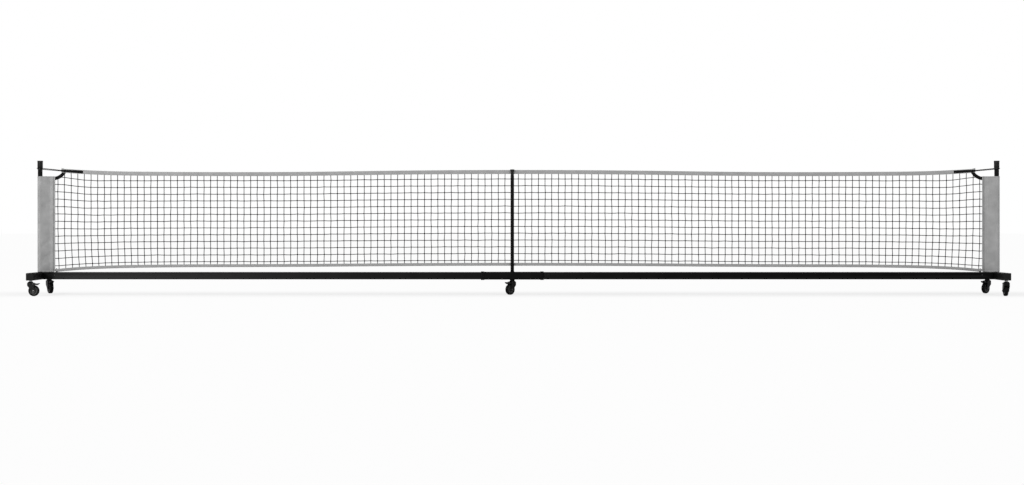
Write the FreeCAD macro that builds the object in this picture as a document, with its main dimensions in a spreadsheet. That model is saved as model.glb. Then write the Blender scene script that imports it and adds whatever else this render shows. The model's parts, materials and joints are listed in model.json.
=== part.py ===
import FreeCAD, Part
import math
import os

import Sketcher
from FreeCAD import Placement, Rotation, Vector

# A portable net on a wheeled steel frame, in millimetres.
# X runs along the net, -Y faces the viewer and Z is up from the floor.
# The origin is on the floor, under the middle of the frame.

doc = FreeCAD.newDocument("portable_net")
sheet = doc.addObject("Spreadsheet::Sheet", "Sizes")


class Size:
    """A number, with the expression that ties it to the sheet."""

    def __init__(self, value, text):
        self.value = value
        self.text = text

    def __float__(self):
        return self.value

    def __add__(self, other):
        other = as_size(other)
        return Size(self.value + other.value, f"({self.text} + {other.text})")

    def __sub__(self, other):
        other = as_size(other)
        return Size(self.value - other.value, f"({self.text} - {other.text})")

    def __mul__(self, other):
        other = as_size(other)
        return Size(self.value * other.value, f"{self.text} * {other.text}")

    def __truediv__(self, other):
        other = as_size(other)
        return Size(self.value / other.value, f"{self.text} / {other.text}")

    def __radd__(self, other):
        return as_size(other) + self

    def __rsub__(self, other):
        return as_size(other) - self

    def __rmul__(self, other):
        return as_size(other) * self

    def __neg__(self):
        return Size(-self.value, f"(0 - {self.text})")


def as_size(number):
    if isinstance(number, Size):
        return number
    return Size(float(number), f"({float(number)!r})")


def size(alias, number, note):
    """Write one driving dimension into the sheet."""
    row = len(sheet.getUsedCells()) // 2 + 1
    sheet.set(f"A{row}", note)
    sheet.set(f"B{row}", str(number))
    sheet.setAlias(f"B{row}", alias)
    return Size(float(number), f"Sizes.{alias}")


# Frame
post_spacing = size("PostSpacing", 6712, "between the axes of the end posts")
tube_size = size("TubeSize", 51, "outside of the square tube")
tube_wall = size("TubeWall", 2, "wall of the square tube")
tube_corner = size("TubeCorner", 4, "outside corner of the square tube")
foot_length = size("FootLength", 660, "foot, over its end caps")
stem_inset = size("StemInset", 35, "foot casters, from the foot's ends")
slip_gap = size("SlipGap", 0.3, "clearance between pieces that slide together")
stub_length = size("StubLength", 120, "foot stub inside the beam")
cap_flange = size("CapFlange", 3, "flange of a foot's end cap")
cap_plug = size("CapPlug", 16, "depth of an end cap's plug")

# Coupler in the middle of the beam
centre_shift = size("CentreShift", -43, "coupler and centre post, along X")
coupler_length = size("CouplerLength", 440, "coupler")
coupler_wall = size("CouplerWall", 2.2, "coupler wall")
coupler_web = size("CouplerWeb", 44, "solid block between the beams' ends")
band_length = size("BandLength", 24, "raised band at each end")
band_rise = size("BandRise", 2.2, "height of the raised band")
collar_radius = size("CollarRadius", 17, "collar round the centre caster's stem")
collar_wall = size("CollarWall", 2.4, "wall of that collar")
socket_room = size("SocketRoom", 1, "stem's socket above the stem")
bolt_radius = size("BoltRadius", 4, "coupler bolts")
bolt_head_radius = size("BoltHeadRadius", 7.5, "coupler bolt head, over the corners")
bolt_head = size("BoltHead", 4.5, "coupler bolt head height")
bolt_inset = size("BoltInset", 90, "bolts, from the coupler's ends")

# Snap button
button_inset = size("ButtonInset", 81.5, "snap buttons, from the face of the foot")
button_rise = size("ButtonRise", 5, "snap buttons above the tube's axis")
button_radius = size("ButtonRadius", 4, "snap button")
button_proud = size("ButtonProud", 3, "how far a button stands out")
button_flange = size("ButtonFlange", 6.5, "half the button's flange")
button_travel = size("ButtonTravel", 5.5, "button travel")
leaf_thickness = size("LeafThickness", 1, "leaf spring")
leaf_length = size("LeafLength", 12, "straight part of the leaf beside the button")
leaf_width = size("LeafWidth", 9, "leaf spring")

# Posts
post_radius = size("PostRadius", 16.5, "end post")
post_wall = size("PostWall", 2, "end post wall")
cap_wall = size("CapWall", 2.5, "fitting on the post top, outside the post")
cap_height = size("CapHeight", 62, "fitting on the post top")
cap_crown = size("CapCrown", 4, "fitting above the end of the post's tube")
cap_lip = size("CapLip", 11, "thicker rim at its top")
cap_lip_rise = size("CapLipRise", 0.8, "height of that rim")
cord_lift = size("CordLift", 6.5, "cord above the fitting's lower edge")
cord_level = size("CordLevel", 9, "cord round the fitting, above the middle of the tape")
groove_depth = size("GrooveDepth", 0.8, "step over the cord")
cord_rise = size("CordRise", 2.8, "room for the sloping loop under that step")
cord_radius = size("CordRadius", 2.5, "tie cord")
strand_gap = size("StrandGap", 0.4, "half the gap between a cord's two strands")

# Centre post and its hook
centre_radius = size("CentreRadius", 12.5, "centre post")
centre_wall = size("CentreWall", 1.6, "centre post wall")
centre_socket = size("CentreSocket", 40, "depth of the socket in the coupler")
centre_drop = size("CentreDrop", 37.5, "centre post's tube, below the top of the tape")
notch_room = size("NotchRoom", 6, "slot in the tube's rear, below the lowered prongs")
notch_start = size("NotchStart", 2.5, "front of that slot, behind the axis")
hook_travel = size("HookTravel", 20, "how far the hook slides down")
hook_shank = size("HookShank", 80, "hook shank inside the tube")
hook_brim = size("HookBrim", 2, "head of the hook, outside the tube")
hook_head = size("HookHead", 15, "head of the hook, height")
hook_rise = size("HookRise", 4, "head of the hook above the tape")
prong_width = size("ProngWidth", 6, "one prong")
prong_height = size("ProngHeight", 5, "one prong")
prong_thickness = size("ProngThickness", 3.5, "upturned end, front to back")
prong_offset = size("ProngOffset", 9, "prong, from the hook's axis")
prong_lip = size("ProngLip", 20, "upturned end of a prong")

# Casters
wheel_radius = size("WheelRadius", 37.5, "over the tyre")
tread_width = size("TreadWidth", 26, "tyre")
tyre_room = size("TyreRoom", 4, "between the tyre and the crown")
hub_radius = size("HubRadius", 10, "wheel hub")
hub_side = size("HubSide", 3, "between the tyre and a leg")
caster_trail = size("CasterTrail", 22, "axle behind the stem")
fork_leg = size("ForkLeg", 5, "fork leg thickness")
fork_lead = size("ForkLead", 22, "fork, in front of the stem")
fork_nose = size("ForkNose", 9, "bevel of the fork's front corners")
crown_height = size("CrownHeight", 13, "crown over the tyre")
head_height = size("HeadHeight", 8, "swivel head over the crown")
head_step = size("HeadStep", 4, "step in the swivel head")
stem_room = size("StemRoom", 8, "between the swivel head and the foot")
axle_radius = size("AxleRadius", 4, "axle bolt")
axle_boss = size("AxleBoss", 10, "rounded end of a fork leg")
running_gap = size("RunningGap", 0.4, "between turning pieces")
stem_radius = size("StemRadius", 6, "caster stem")
stem_nut = size("StemNut", 12, "stem nuts, over the corners")
rivet_radius = size("RivetRadius", 9.5, "head under the fork's crown, over the corners")
rivet_head = size("RivetHead", 2.6, "head under the fork's crown")
stem_above = size("StemAbove", 11, "stem inside the tube or coupler")
pedal_x = size("PedalX", 20, "brake hinge behind the stem")
pedal_rise = size("PedalRise", 7, "brake hinge above the crown's underside")
pedal_reach = size("PedalReach", 61, "pedal tip behind the stem")
pedal_knuckle = size("PedalKnuckle", 5, "hinge knuckle")
pedal_pin = size("PedalPin", 2.5, "hinge pin")
pedal_gap = size("PedalGap", 0.8, "round the pedal's knuckle")
front_left_turn = size("FrontLeftTurn", 0, "swivel angle in degrees")
rear_left_turn = size("RearLeftTurn", -58, "swivel angle in degrees")
centre_turn = size("CentreTurn", 225, "swivel angle in degrees")
rear_right_turn = size("RearRightTurn", 223, "swivel angle in degrees")
front_right_turn = size("FrontRightTurn", 90, "swivel angle in degrees")

# Net
net_height = size("NetHeight", 875.5, "top of the tape in the middle")
tape_rise = size("TapeRise", 9.5, "ends of the tape above its middle")
tape_height = size("TapeHeight", 28, "top tape")
tape_inset = size("TapeInset", 42.5, "between a sleeve and the end of the tape")
cloth = size("Cloth", 1.2, "thickness of one ply")
mesh_thickness = size("MeshThickness", 2.4, "mesh strand, front to back")
mesh_strand = size("MeshStrand", 3.2, "mesh strand, seen from the front")
mesh_foot = size("MeshFoot", 30, "mesh's lower corners above the sleeve's lower edge")
mesh_columns = 32
mesh_rows = 4
seam_depth = size("SeamDepth", 12, "mesh inside a band or sleeve")
band_height = size("BandHeight", 20, "bottom band")
band_level = size("BandLevel", 64.4, "bottom band above the beam, in the middle")
band_inset = size("BandInset", 7.5, "between a peg and the end of the bottom band")
loop_height = size("LoopHeight", 16.8, "loop of the bottom band on a peg")
webbing_length = size("WebbingLength", 151, "webbing along the tape")
webbing_tall = size("WebbingTall", 21, "webbing at its inner end")
webbing_short = size("WebbingShort", 15, "webbing at its outer end")
sleeve_width = size("SleeveWidth", 104.5, "sleeve, from the post's axis to its inner edge")
sleeve_ease = size("SleeveEase", 4.5, "pocket of a sleeve, outside the post")
sleeve_lift = size("SleeveLift", 3, "sleeve above the beam")
sleeve_drop = size("SleeveDrop", 53.5, "sleeve's upper edge below the cord")
strap_width = size("StrapWidth", 16, "binding of the net's top corner")
strap_inset = size("StrapInset", 12.5, "binding at the sleeve, below the sleeve's upper edge")
strap_drop = size("StrapDrop", 30, "binding at the tape, below the tape's upper edge")
strap_lap = size("StrapLap", 16, "binding under the end of the tape")
strap_slope = size("StrapSlope", 12, "slope at the sleeve in degrees")
peg_inset = size("PegInset", 8, "corner pegs, from the sleeve's inner edge")
peg_radius = size("PegRadius", 3, "corner peg")
peg_height = size("PegHeight", 26, "corner peg above the beam")
peg_flange = size("PegFlange", 7, "hexagon foot of the peg, over the corners")
peg_flange_height = size("PegFlangeHeight", 5, "hexagon foot of the peg")

doc.recompute()

# Places that follow from the sizes above, along the frame
post_x = post_spacing / 2
foot_face = post_x - tube_size / 2
stem_offset = foot_length / 2 - stem_inset
button_x = foot_face - button_inset
bolt_place = coupler_length / 2 - bolt_inset
sleeve_inner = post_x - sleeve_width
peg_x = sleeve_inner - peg_inset
band_end = peg_x - band_inset
tape_end = sleeve_inner - tape_inset
webbing_inner = tape_end - webbing_length
strap_end = tape_end - strap_lap

# Heights, from the wheels up to the beam and down from the tape
crown_bottom = wheel_radius * 2 + tyre_room
crown_top = crown_bottom + crown_height
fork_top = crown_top + head_height
pedal_z = crown_bottom + pedal_rise
tube_height = fork_top + stem_room
tube_mid = tube_height + tube_size / 2
tube_top = tube_height + tube_size
button_z = tube_mid + button_rise
sleeve_bottom = tube_top + sleeve_lift
band_middle = tube_top + band_level
band_low = tube_top + peg_flange_height + slip_gap + loop_height
centre_top = net_height - centre_drop
cord_height = net_height + cord_level
cap_bottom = cord_height - cord_lift
cap_top = cap_bottom + cap_height
post_top = cap_top - cap_crown
sleeve_top = cord_height - sleeve_drop
strap_low = sleeve_top - strap_inset
strap_high = net_height + tape_rise - strap_drop

# Sections
tube_inside = tube_size - tube_wall * 2
stub_size = tube_inside - slip_gap * 2
stub_inside = stub_size - tube_wall * 2
coupler_size = tube_size + slip_gap * 2 + coupler_wall * 2
coupler_top = tube_mid + coupler_size / 2
coupler_bottom = tube_mid - coupler_size / 2
fork_width = tread_width + hub_side * 2 + fork_leg * 2
cap_radius = post_radius + cap_wall
sleeve_radius = post_radius + sleeve_ease
hook_head_radius = centre_radius + hook_brim
notch_depth = hook_travel + notch_room
band_slot = mesh_thickness + slip_gap * 2
band_thickness = band_slot + cloth * 2
net_plane = centre_radius + slip_gap + band_thickness / 2

# How far a cut starts outside the material
margin = as_size(1)


def bind(thing, name, amount):
    """Give a property a size, tied to the sheet where it comes from there."""
    thing.setExpression(name, as_size(amount).text)


def new_body(name):
    made = doc.addObject("PartDesign::Body", name)
    made.Label = name
    return made


def sketch_on(body, name, role, offset=0):
    """A sketch on one of the body's own origin planes, moved along its normal."""
    made = body.newObject("Sketcher::SketchObject", f"{body.Name}_{name}_sketch")
    plane = [item for item in body.Origin.OriginFeatures if item.Role == role][0]
    made.AttachmentSupport = (plane, [""])
    made.MapMode = "FlatFace"
    bind(made, "AttachmentOffset.Base.z", offset)
    return made


def tie(sketch, kind, geometry, point, amount):
    """Fix one coordinate of a point, measured from the sketch's origin."""
    amount = as_size(amount)
    axis = {"DistanceX": -2, "DistanceY": -1}[kind]
    if amount.value == 0:
        sketch.addConstraint(Sketcher.Constraint("PointOnObject", geometry, point, axis))
        return
    index = sketch.addConstraint(
        Sketcher.Constraint(kind, -1, 1, geometry, point, amount.value)
    )
    sketch.setExpression(f"Constraints[{index}]", amount.text)


def polygon(sketch, corners):
    """A closed outline of straight lines through the corners."""
    first = sketch.GeometryCount
    count = len(corners)
    points = [Vector(float(a), float(b), 0) for a, b in corners]
    for index in range(count):
        line = Part.LineSegment(points[index], points[(index + 1) % count])
        sketch.addGeometry(line)
    for index in range(count):
        here = first + index
        following = first + (index + 1) % count
        sketch.addConstraint(Sketcher.Constraint("Coincident", here, 2, following, 1))
    for index, (a, b) in enumerate(corners):
        tie(sketch, "DistanceX", first + index, 1, a)
        tie(sketch, "DistanceY", first + index, 1, b)


def square(sketch, a, b, side, corner=None, bevel=None):
    """A square with its middle at a, b, with rounded or bevelled corners where they are given."""
    half = side / 2
    if bevel is not None:
        flat = half - bevel
        stops = [(-flat, -half), (flat, -half), (half, -flat), (half, flat),
                 (flat, half), (-flat, half), (-half, flat), (-half, -flat)]
        polygon(sketch, [(a + right, b + up) for right, up in stops])
        return
    if corner is None:
        polygon(sketch, [(a - half, b - half), (a + half, b - half), (a + half, b + half), (a - half, b + half)])
        return
    flat = half - corner
    first = sketch.GeometryCount
    stops = [(-flat, -half), (flat, -half), (half, -flat), (half, flat),
             (flat, half), (-flat, half), (-half, flat), (-half, -flat)]
    stops = [(a + right, b + up) for right, up in stops]
    points = [Vector(float(right), float(up), 0) for right, up in stops]
    for index in range(4):
        sketch.addGeometry(Part.LineSegment(points[index * 2], points[index * 2 + 1]))
    for index in range(4):
        start = points[index * 2 + 1]
        end = points[(index * 2 + 2) % 8]
        turn = math.radians(90 * index)
        middle = Vector(float(a), float(b), 0)
        middle += Vector(math.cos(turn - math.pi / 4), math.sin(turn - math.pi / 4), 0) * (
            float(flat) * math.sqrt(2) + float(corner))
        made = sketch.addGeometry(Part.Arc(start, middle, end))
        sketch.addConstraint(Sketcher.Constraint("Coincident", made, 1, first + index, 2))
        sketch.addConstraint(Sketcher.Constraint("Coincident", made, 2, first + (index + 1) % 4, 1))
        radius = sketch.addConstraint(Sketcher.Constraint("Radius", made, float(corner)))
        sketch.setExpression(f"Constraints[{radius}]", as_size(corner).text)
    for index, (right, up) in enumerate(stops):
        tie(sketch, "DistanceX", first + index // 2, index % 2 + 1, right)
        tie(sketch, "DistanceY", first + index // 2, index % 2 + 1, up)


def ring_of(count):
    """Points spaced evenly round a circle of radius one."""
    angles = [math.radians(360 * index / count) for index in range(count)]
    return [(round(math.cos(angle), 6), round(math.sin(angle), 6)) for angle in angles]


def hexagon(sketch, radius):
    """A hexagon about the sketch's origin, given over its corners."""
    polygon(sketch, [(radius * a, radius * b) for a, b in ring_of(6)])


def circle(sketch, a, b, radius):
    """A circle with its middle at a, b."""
    radius = as_size(radius)
    middle = Vector(float(a), float(b), 0)
    made = sketch.addGeometry(Part.Circle(middle, Vector(0, 0, 1), radius.value))
    tie(sketch, "DistanceX", made, 3, a)
    tie(sketch, "DistanceY", made, 3, b)
    index = sketch.addConstraint(Sketcher.Constraint("Radius", made, radius.value))
    sketch.setExpression(f"Constraints[{index}]", radius.text)


def pad(body, name, sketch, length, both=False, back=False):
    """Material from a sketch: along its normal, against it, or to both sides."""
    made = body.newObject("PartDesign::Pad", f"{body.Name}_{name}")
    made.Profile = sketch
    made.Midplane = both
    made.Reversed = back
    bind(made, "Length", length)
    doc.recompute()
    return made


def pocket(body, name, sketch, depth, both=False, back=False):
    """A cut from a sketch, against its normal or, with back, along it."""
    before = body.Shape.Volume
    made = body.newObject("PartDesign::Pocket", f"{body.Name}_{name}")
    made.Profile = sketch
    made.Midplane = both
    made.Reversed = back
    bind(made, "Length", depth)
    doc.recompute()
    if body.Shape.Volume > before - 1:
        raise ValueError(f"{made.Name} cuts nothing")
    return made


def revolve(body, name, sketch, axis):
    """A full turn of a sketch about one of its own axes."""
    made = body.newObject("PartDesign::Revolution", f"{body.Name}_{name}")
    made.Profile = sketch
    made.ReferenceAxis = (sketch, [axis])
    made.Angle = 360
    doc.recompute()
    return made


def dress(body, kind, name, chosen, amount):
    """A fillet or chamfer on the edges that the test picks."""
    base = body.Tip
    edges = base.Shape.Edges
    names = [f"Edge{i + 1}" for i, edge in enumerate(edges) if chosen(edge)]
    if not names:
        raise ValueError(f"{body.Name}: no edge for {name}")
    made = body.newObject(f"PartDesign::{kind}", f"{body.Name}_{name}")
    made.Base = (base, names)
    bind(made, "Radius" if kind == "Fillet" else "Size", amount)
    doc.recompute()
    return made


def hole(body, name, role, offset, a, b, radius, depth, back=False):
    """A round hole drilled from a plane into the body."""
    drawn = sketch_on(body, name, role, offset)
    circle(drawn, a, b, radius)
    return pocket(body, name, drawn, depth, back=back)


def group(name, members):
    """Several separate solids that share one node."""
    made = doc.addObject("Part::Compound", name)
    made.Links = members
    made.Label = name
    doc.recompute()
    return made


def mirrored(name, source, normal):
    """A copy of a piece on the other side of the origin."""
    made = doc.addObject("Part::Mirroring", name)
    made.Source = source
    made.Normal = Vector(*normal)
    doc.recompute()
    return made


def foot(name, side):
    """A cross foot with its beam stub and its holes."""
    body = new_body(name)
    x = post_x * side
    drawn = sketch_on(body, "tube", "XZ_Plane")
    square(drawn, x, tube_mid, tube_size, tube_corner)
    square(drawn, x, tube_mid, tube_inside)
    pad(body, "tube", drawn, foot_length - cap_flange * 2, both=True)
    drawn = sketch_on(body, "stub", "YZ_Plane", (foot_face + tube_wall) * side)
    square(drawn, 0, tube_mid, stub_size)
    square(drawn, 0, tube_mid, stub_inside)
    pad(body, "stub", drawn, stub_length + tube_wall, back=side > 0)
    hole(body, "post_hole", "XY_Plane", tube_top, x, 0, post_radius + slip_gap, tube_wall)
    for end in (-1, 1):
        hole(body, f"stem_hole_{end + 2}", "XY_Plane", tube_height + tube_wall,
             x, stem_offset * end, stem_radius + slip_gap, tube_wall)
    hole(body, "button_hole", "XZ_Plane", stub_size / 2,
         button_x * side, button_z, button_radius + slip_gap, tube_wall)
    return body


def beam(name, side, inner_end):
    """One half of the beam, with the holes for what fastens to it."""
    body = new_body(name)
    drawn = sketch_on(body, "tube", "YZ_Plane", inner_end)
    square(drawn, 0, tube_mid, tube_size, tube_corner)
    square(drawn, 0, tube_mid, tube_inside)
    pad(body, "tube", drawn, (foot_face * side - inner_end) * side, back=side < 0)
    hole(body, "button_hole", "XZ_Plane", tube_size / 2,
         button_x * side, button_z, button_radius + slip_gap, tube_wall)
    hole(body, "bolt_hole", "XZ_Plane", -tube_size / 2,
         centre_shift + bolt_place * side, tube_mid, bolt_radius + slip_gap, tube_wall, back=True)
    return body


def coupler():
    """The sleeve over both beams, with a block for the post and the stem."""
    body = new_body("centre_coupler")
    drawn = sketch_on(body, "sleeve", "YZ_Plane", centre_shift)
    square(drawn, 0, tube_mid, coupler_size, bevel=coupler_wall)
    pad(body, "sleeve", drawn, coupler_length, both=True)
    band_size = coupler_size + band_rise * 2
    for side in (-1, 1):
        end = centre_shift + coupler_length / 2 * side
        drawn = sketch_on(body, f"band_{side + 2}", "YZ_Plane", end)
        square(drawn, 0, tube_mid, band_size, bevel=coupler_wall + band_rise / 2)
        pad(body, f"band_{side + 2}", drawn, band_length, back=side > 0)
    for side in (-1, 1):
        end = centre_shift + coupler_length / 2 * side
        drawn = sketch_on(body, f"bore_{side + 2}", "YZ_Plane", end)
        square(drawn, 0, tube_mid, tube_size + slip_gap * 2)
        pocket(body, f"bore_{side + 2}", drawn, (coupler_length - coupler_web) / 2, back=side < 0)
    drawn = sketch_on(body, "collar", "XY_Plane", coupler_bottom)
    for radius in (collar_radius, collar_radius - collar_wall):
        polygon(drawn, [(centre_shift + radius * a, radius * b) for a, b in ring_of(12)])
    pad(body, "collar", drawn, coupler_bottom - fork_top - running_gap, back=True)
    hole(body, "post_socket", "XY_Plane", coupler_top,
         centre_shift, 0, centre_radius + slip_gap, centre_socket)
    hole(body, "stem_socket", "XY_Plane", coupler_bottom,
         centre_shift, 0, stem_radius + slip_gap, stem_above + socket_room, back=True)
    for side in (-1, 1):
        hole(body, f"bolt_hole_{side + 2}", "XZ_Plane", -coupler_size / 2,
             centre_shift + bolt_place * side, tube_mid, bolt_radius + slip_gap, coupler_wall, back=True)
    return body


def coupler_bolts():
    """The bolts through the coupler's rear wall into the beams."""
    bolts = []
    for side in (-1, 1):
        body = doc.addObject("PartDesign::Body", f"bolt_{side + 2}")
        drawn = sketch_on(body, "head", "XZ_Plane", -coupler_size / 2)
        hexagon(drawn, bolt_head_radius)
        pad(body, "head", drawn, bolt_head, back=True)
        drawn = sketch_on(body, "shank", "XZ_Plane", -coupler_size / 2)
        circle(drawn, 0, 0, bolt_radius)
        pad(body, "shank", drawn, coupler_wall + slip_gap + tube_wall * 2)
        bind(body, "Placement.Base.x", centre_shift + bolt_place * side)
        bind(body, "Placement.Base.z", tube_mid)
        bolts.append(body)
    return group("coupler_bolts", bolts)


def foot_end_caps():
    """Plugs in the four open ends of the feet."""
    body = doc.addObject("PartDesign::Body", "end_cap")
    outer = foot_length / 2
    drawn = sketch_on(body, "flange", "XZ_Plane", outer)
    square(drawn, post_x, tube_mid, tube_size, bevel=tube_corner / 2)
    pad(body, "flange", drawn, cap_flange, back=True)
    plug = tube_inside - slip_gap * 2
    drawn = sketch_on(body, "plug", "XZ_Plane", outer - cap_flange)
    square(drawn, post_x, tube_mid, plug)
    square(drawn, post_x, tube_mid, plug - tube_wall * 2)
    pad(body, "plug", drawn, cap_plug, back=True)
    rear = mirrored("end_cap_rear", body, (0, 1, 0))
    front_left = mirrored("end_cap_front_left", body, (1, 0, 0))
    rear_left = mirrored("end_cap_rear_left", rear, (1, 0, 0))
    return group("foot_end_caps", [body, rear, front_left, rear_left])


def snap_button(name, side):
    """A sprung button: a pin with a square flange inside the stub."""
    body = new_body(name)
    front = tube_size / 2 + button_proud
    seat = stub_inside / 2 - slip_gap
    drawn = sketch_on(body, "pin", "XZ_Plane", front)
    circle(drawn, 0, 0, button_radius)
    pad(body, "pin", drawn, front - seat, back=True)
    drawn = sketch_on(body, "flange", "XZ_Plane", seat)
    square(drawn, 0, 0, button_flange * 2)
    pad(body, "flange", drawn, tube_wall, back=True)
    bind(body, "Placement.Base.x", button_x * side)
    bind(body, "Placement.Base.z", button_z)
    return body


def snap_spring(name, side):
    """A hairpin leaf behind a button, with room to close before the rear wall."""
    body = new_body(name)
    front = -(stub_inside / 2 - slip_gap - tube_wall)
    rear = stub_inside / 2 - button_travel - slip_gap
    start = button_x - button_flange
    bend = button_x - button_flange - leaf_length
    mid = (front + rear) / 2
    half = (rear - front) / 2
    drawn = sketch_on(body, "leaf", "XY_Plane", button_z)
    outer = [(start, front), (bend, front)]
    inner = [(start, front + leaf_thickness), (bend, front + leaf_thickness)]
    for index in range(1, 6):
        angle = math.pi * index / 6
        out = round(math.sin(angle), 4)
        along = round(-math.cos(angle), 4)
        outer.append((bend - half * out, mid + half * along))
        inner.append((bend - (half - leaf_thickness) * out, mid + (half - leaf_thickness) * along))
    outer += [(bend, rear), (start, rear)]
    inner += [(bend, rear - leaf_thickness), (start, rear - leaf_thickness)]
    polygon(drawn, [(x * side, y) for x, y in outer + inner[::-1]])
    pad(body, "leaf", drawn, leaf_width, both=True)
    return body


def post(name, side):
    """An end post, through the foot's upper wall and down on its lower one."""
    body = new_body(name)
    foot_floor = tube_height + tube_wall
    drawn = sketch_on(body, "tube", "XY_Plane", foot_floor)
    circle(drawn, post_x * side, 0, post_radius)
    circle(drawn, post_x * side, 0, post_radius - post_wall)
    pad(body, "tube", drawn, post_top - foot_floor)
    return body


def post_caps():
    """The turned fittings on the posts, each narrower where the cord goes round."""
    fittings = []
    bore = post_radius + slip_gap
    shoulder = cord_height + cord_radius + cord_rise
    rim = cap_radius + cap_lip_rise
    for side in (-1, 1):
        body = doc.addObject("PartDesign::Body", f"fitting_{side + 2}")
        drawn = sketch_on(body, "profile", "XZ_Plane")
        polygon(drawn, [
            (bore, cap_bottom),
            (cap_radius - groove_depth, cap_bottom),
            (cap_radius - groove_depth, shoulder),
            (cap_radius, shoulder),
            (cap_radius, cap_top - cap_lip),
            (rim, cap_top - cap_lip),
            (rim, cap_top),
            (0, cap_top),
            (0, post_top + slip_gap),
            (bore, post_top + slip_gap),
        ])
        revolve(body, "turned", drawn, "V_Axis")
        bind(body, "Placement.Base.x", post_x * side)
        fittings.append(body)
    return group("post_caps", fittings)


def centre_post():
    """The thin upright in the middle, notched at the top for the prongs."""
    body = new_body("centre_post")
    floor = coupler_top - centre_socket
    drawn = sketch_on(body, "tube", "XY_Plane", floor)
    circle(drawn, centre_shift, 0, centre_radius)
    circle(drawn, centre_shift, 0, centre_radius - centre_wall)
    pad(body, "tube", drawn, centre_top - floor)
    drawn = sketch_on(body, "notch", "XY_Plane", centre_top)
    half = centre_radius + margin
    polygon(drawn, [(centre_shift - half, notch_start), (centre_shift + half, notch_start),
                    (centre_shift + half, half), (centre_shift - half, half)])
    pocket(body, "notch", drawn, notch_depth)
    return body


def centre_hook():
    """The sliding fitting whose two prongs carry the top tape."""
    body = new_body("centre_post_hook")
    tape_top = as_size(height_at(tape_line, float(centre_shift)))
    tape_bottom = tape_top - tape_height
    head_top = tape_top + hook_rise
    shank = centre_radius - centre_wall - slip_gap
    bottom = centre_top - hook_shank
    drawn = sketch_on(body, "profile", "XZ_Plane")
    polygon(drawn, [
        (0, bottom),
        (shank, bottom),
        (shank, head_top - hook_head),
        (hook_head_radius, head_top - hook_head),
        (hook_head_radius, head_top),
        (0, head_top),
    ])
    revolve(body, "turned", drawn, "V_Axis")
    tape_front = net_plane - band_thickness / 2 - slip_gap * 2
    tape_back = net_plane + band_thickness / 2 + slip_gap * 2
    drawn = sketch_on(body, "tape_slot", "XY_Plane", head_top + margin)
    half = hook_head_radius + margin
    polygon(drawn, [(-half, tape_front), (half, tape_front), (half, half), (-half, half)])
    pocket(body, "tape_slot", drawn, head_top - tape_bottom + margin + slip_gap)
    arm_top = tape_bottom - slip_gap
    for side in (-1, 1):
        drawn = sketch_on(body, f"prong_{side + 2}", "YZ_Plane", prong_offset * side)
        root = notch_start + slip_gap
        polygon(drawn, [(root, arm_top - prong_height), (tape_back + prong_thickness, arm_top - prong_height),
                        (tape_back + prong_thickness, arm_top - prong_height + prong_lip),
                        (tape_back, arm_top - prong_height + prong_lip),
                        (tape_back, arm_top), (root, arm_top)])
        pad(body, f"prong_{side + 2}", drawn, prong_width, both=True)
    bind(body, "Placement.Base.x", centre_shift)
    return body


def set_caster(body, at):
    """Swivel a caster's piece about its stem and move it to its place."""
    x, y, turn = at
    bind(body, "Placement.Base.x", x)
    bind(body, "Placement.Base.y", y)
    body.Placement = Placement(body.Placement.Base, Rotation(Vector(0, 0, 1), 0))
    bind(body, "Placement.Rotation.Angle", turn)
    return body


def caster_stems():
    """The stems that the casters swivel on, each with its nuts."""
    stems = []
    for place, at in casters.items():
        on_foot = place != "centre"
        seat = tube_height if on_foot else coupler_bottom
        body = doc.addObject("PartDesign::Body", f"{place}_stem")
        head = crown_bottom - running_gap
        drawn = sketch_on(body, "rivet", "XY_Plane", head)
        hexagon(drawn, rivet_radius)
        pad(body, "rivet", drawn, rivet_head, back=True)
        drawn = sketch_on(body, "stud", "XY_Plane", head)
        circle(drawn, 0, 0, stem_radius)
        pad(body, "stud", drawn, seat + stem_above - head)
        drawn = sketch_on(body, "jam_nut", "XY_Plane", fork_top + running_gap)
        hexagon(drawn, stem_nut)
        pad(body, "jam_nut", drawn, seat - fork_top - running_gap)
        if on_foot:
            drawn = sketch_on(body, "nut", "XY_Plane", seat + tube_wall)
            hexagon(drawn, stem_nut)
            pad(body, "nut", drawn, stem_above - tube_wall)
        set_caster(body, at)
        stems.append(body)
    return group("caster_stems", stems)


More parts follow.
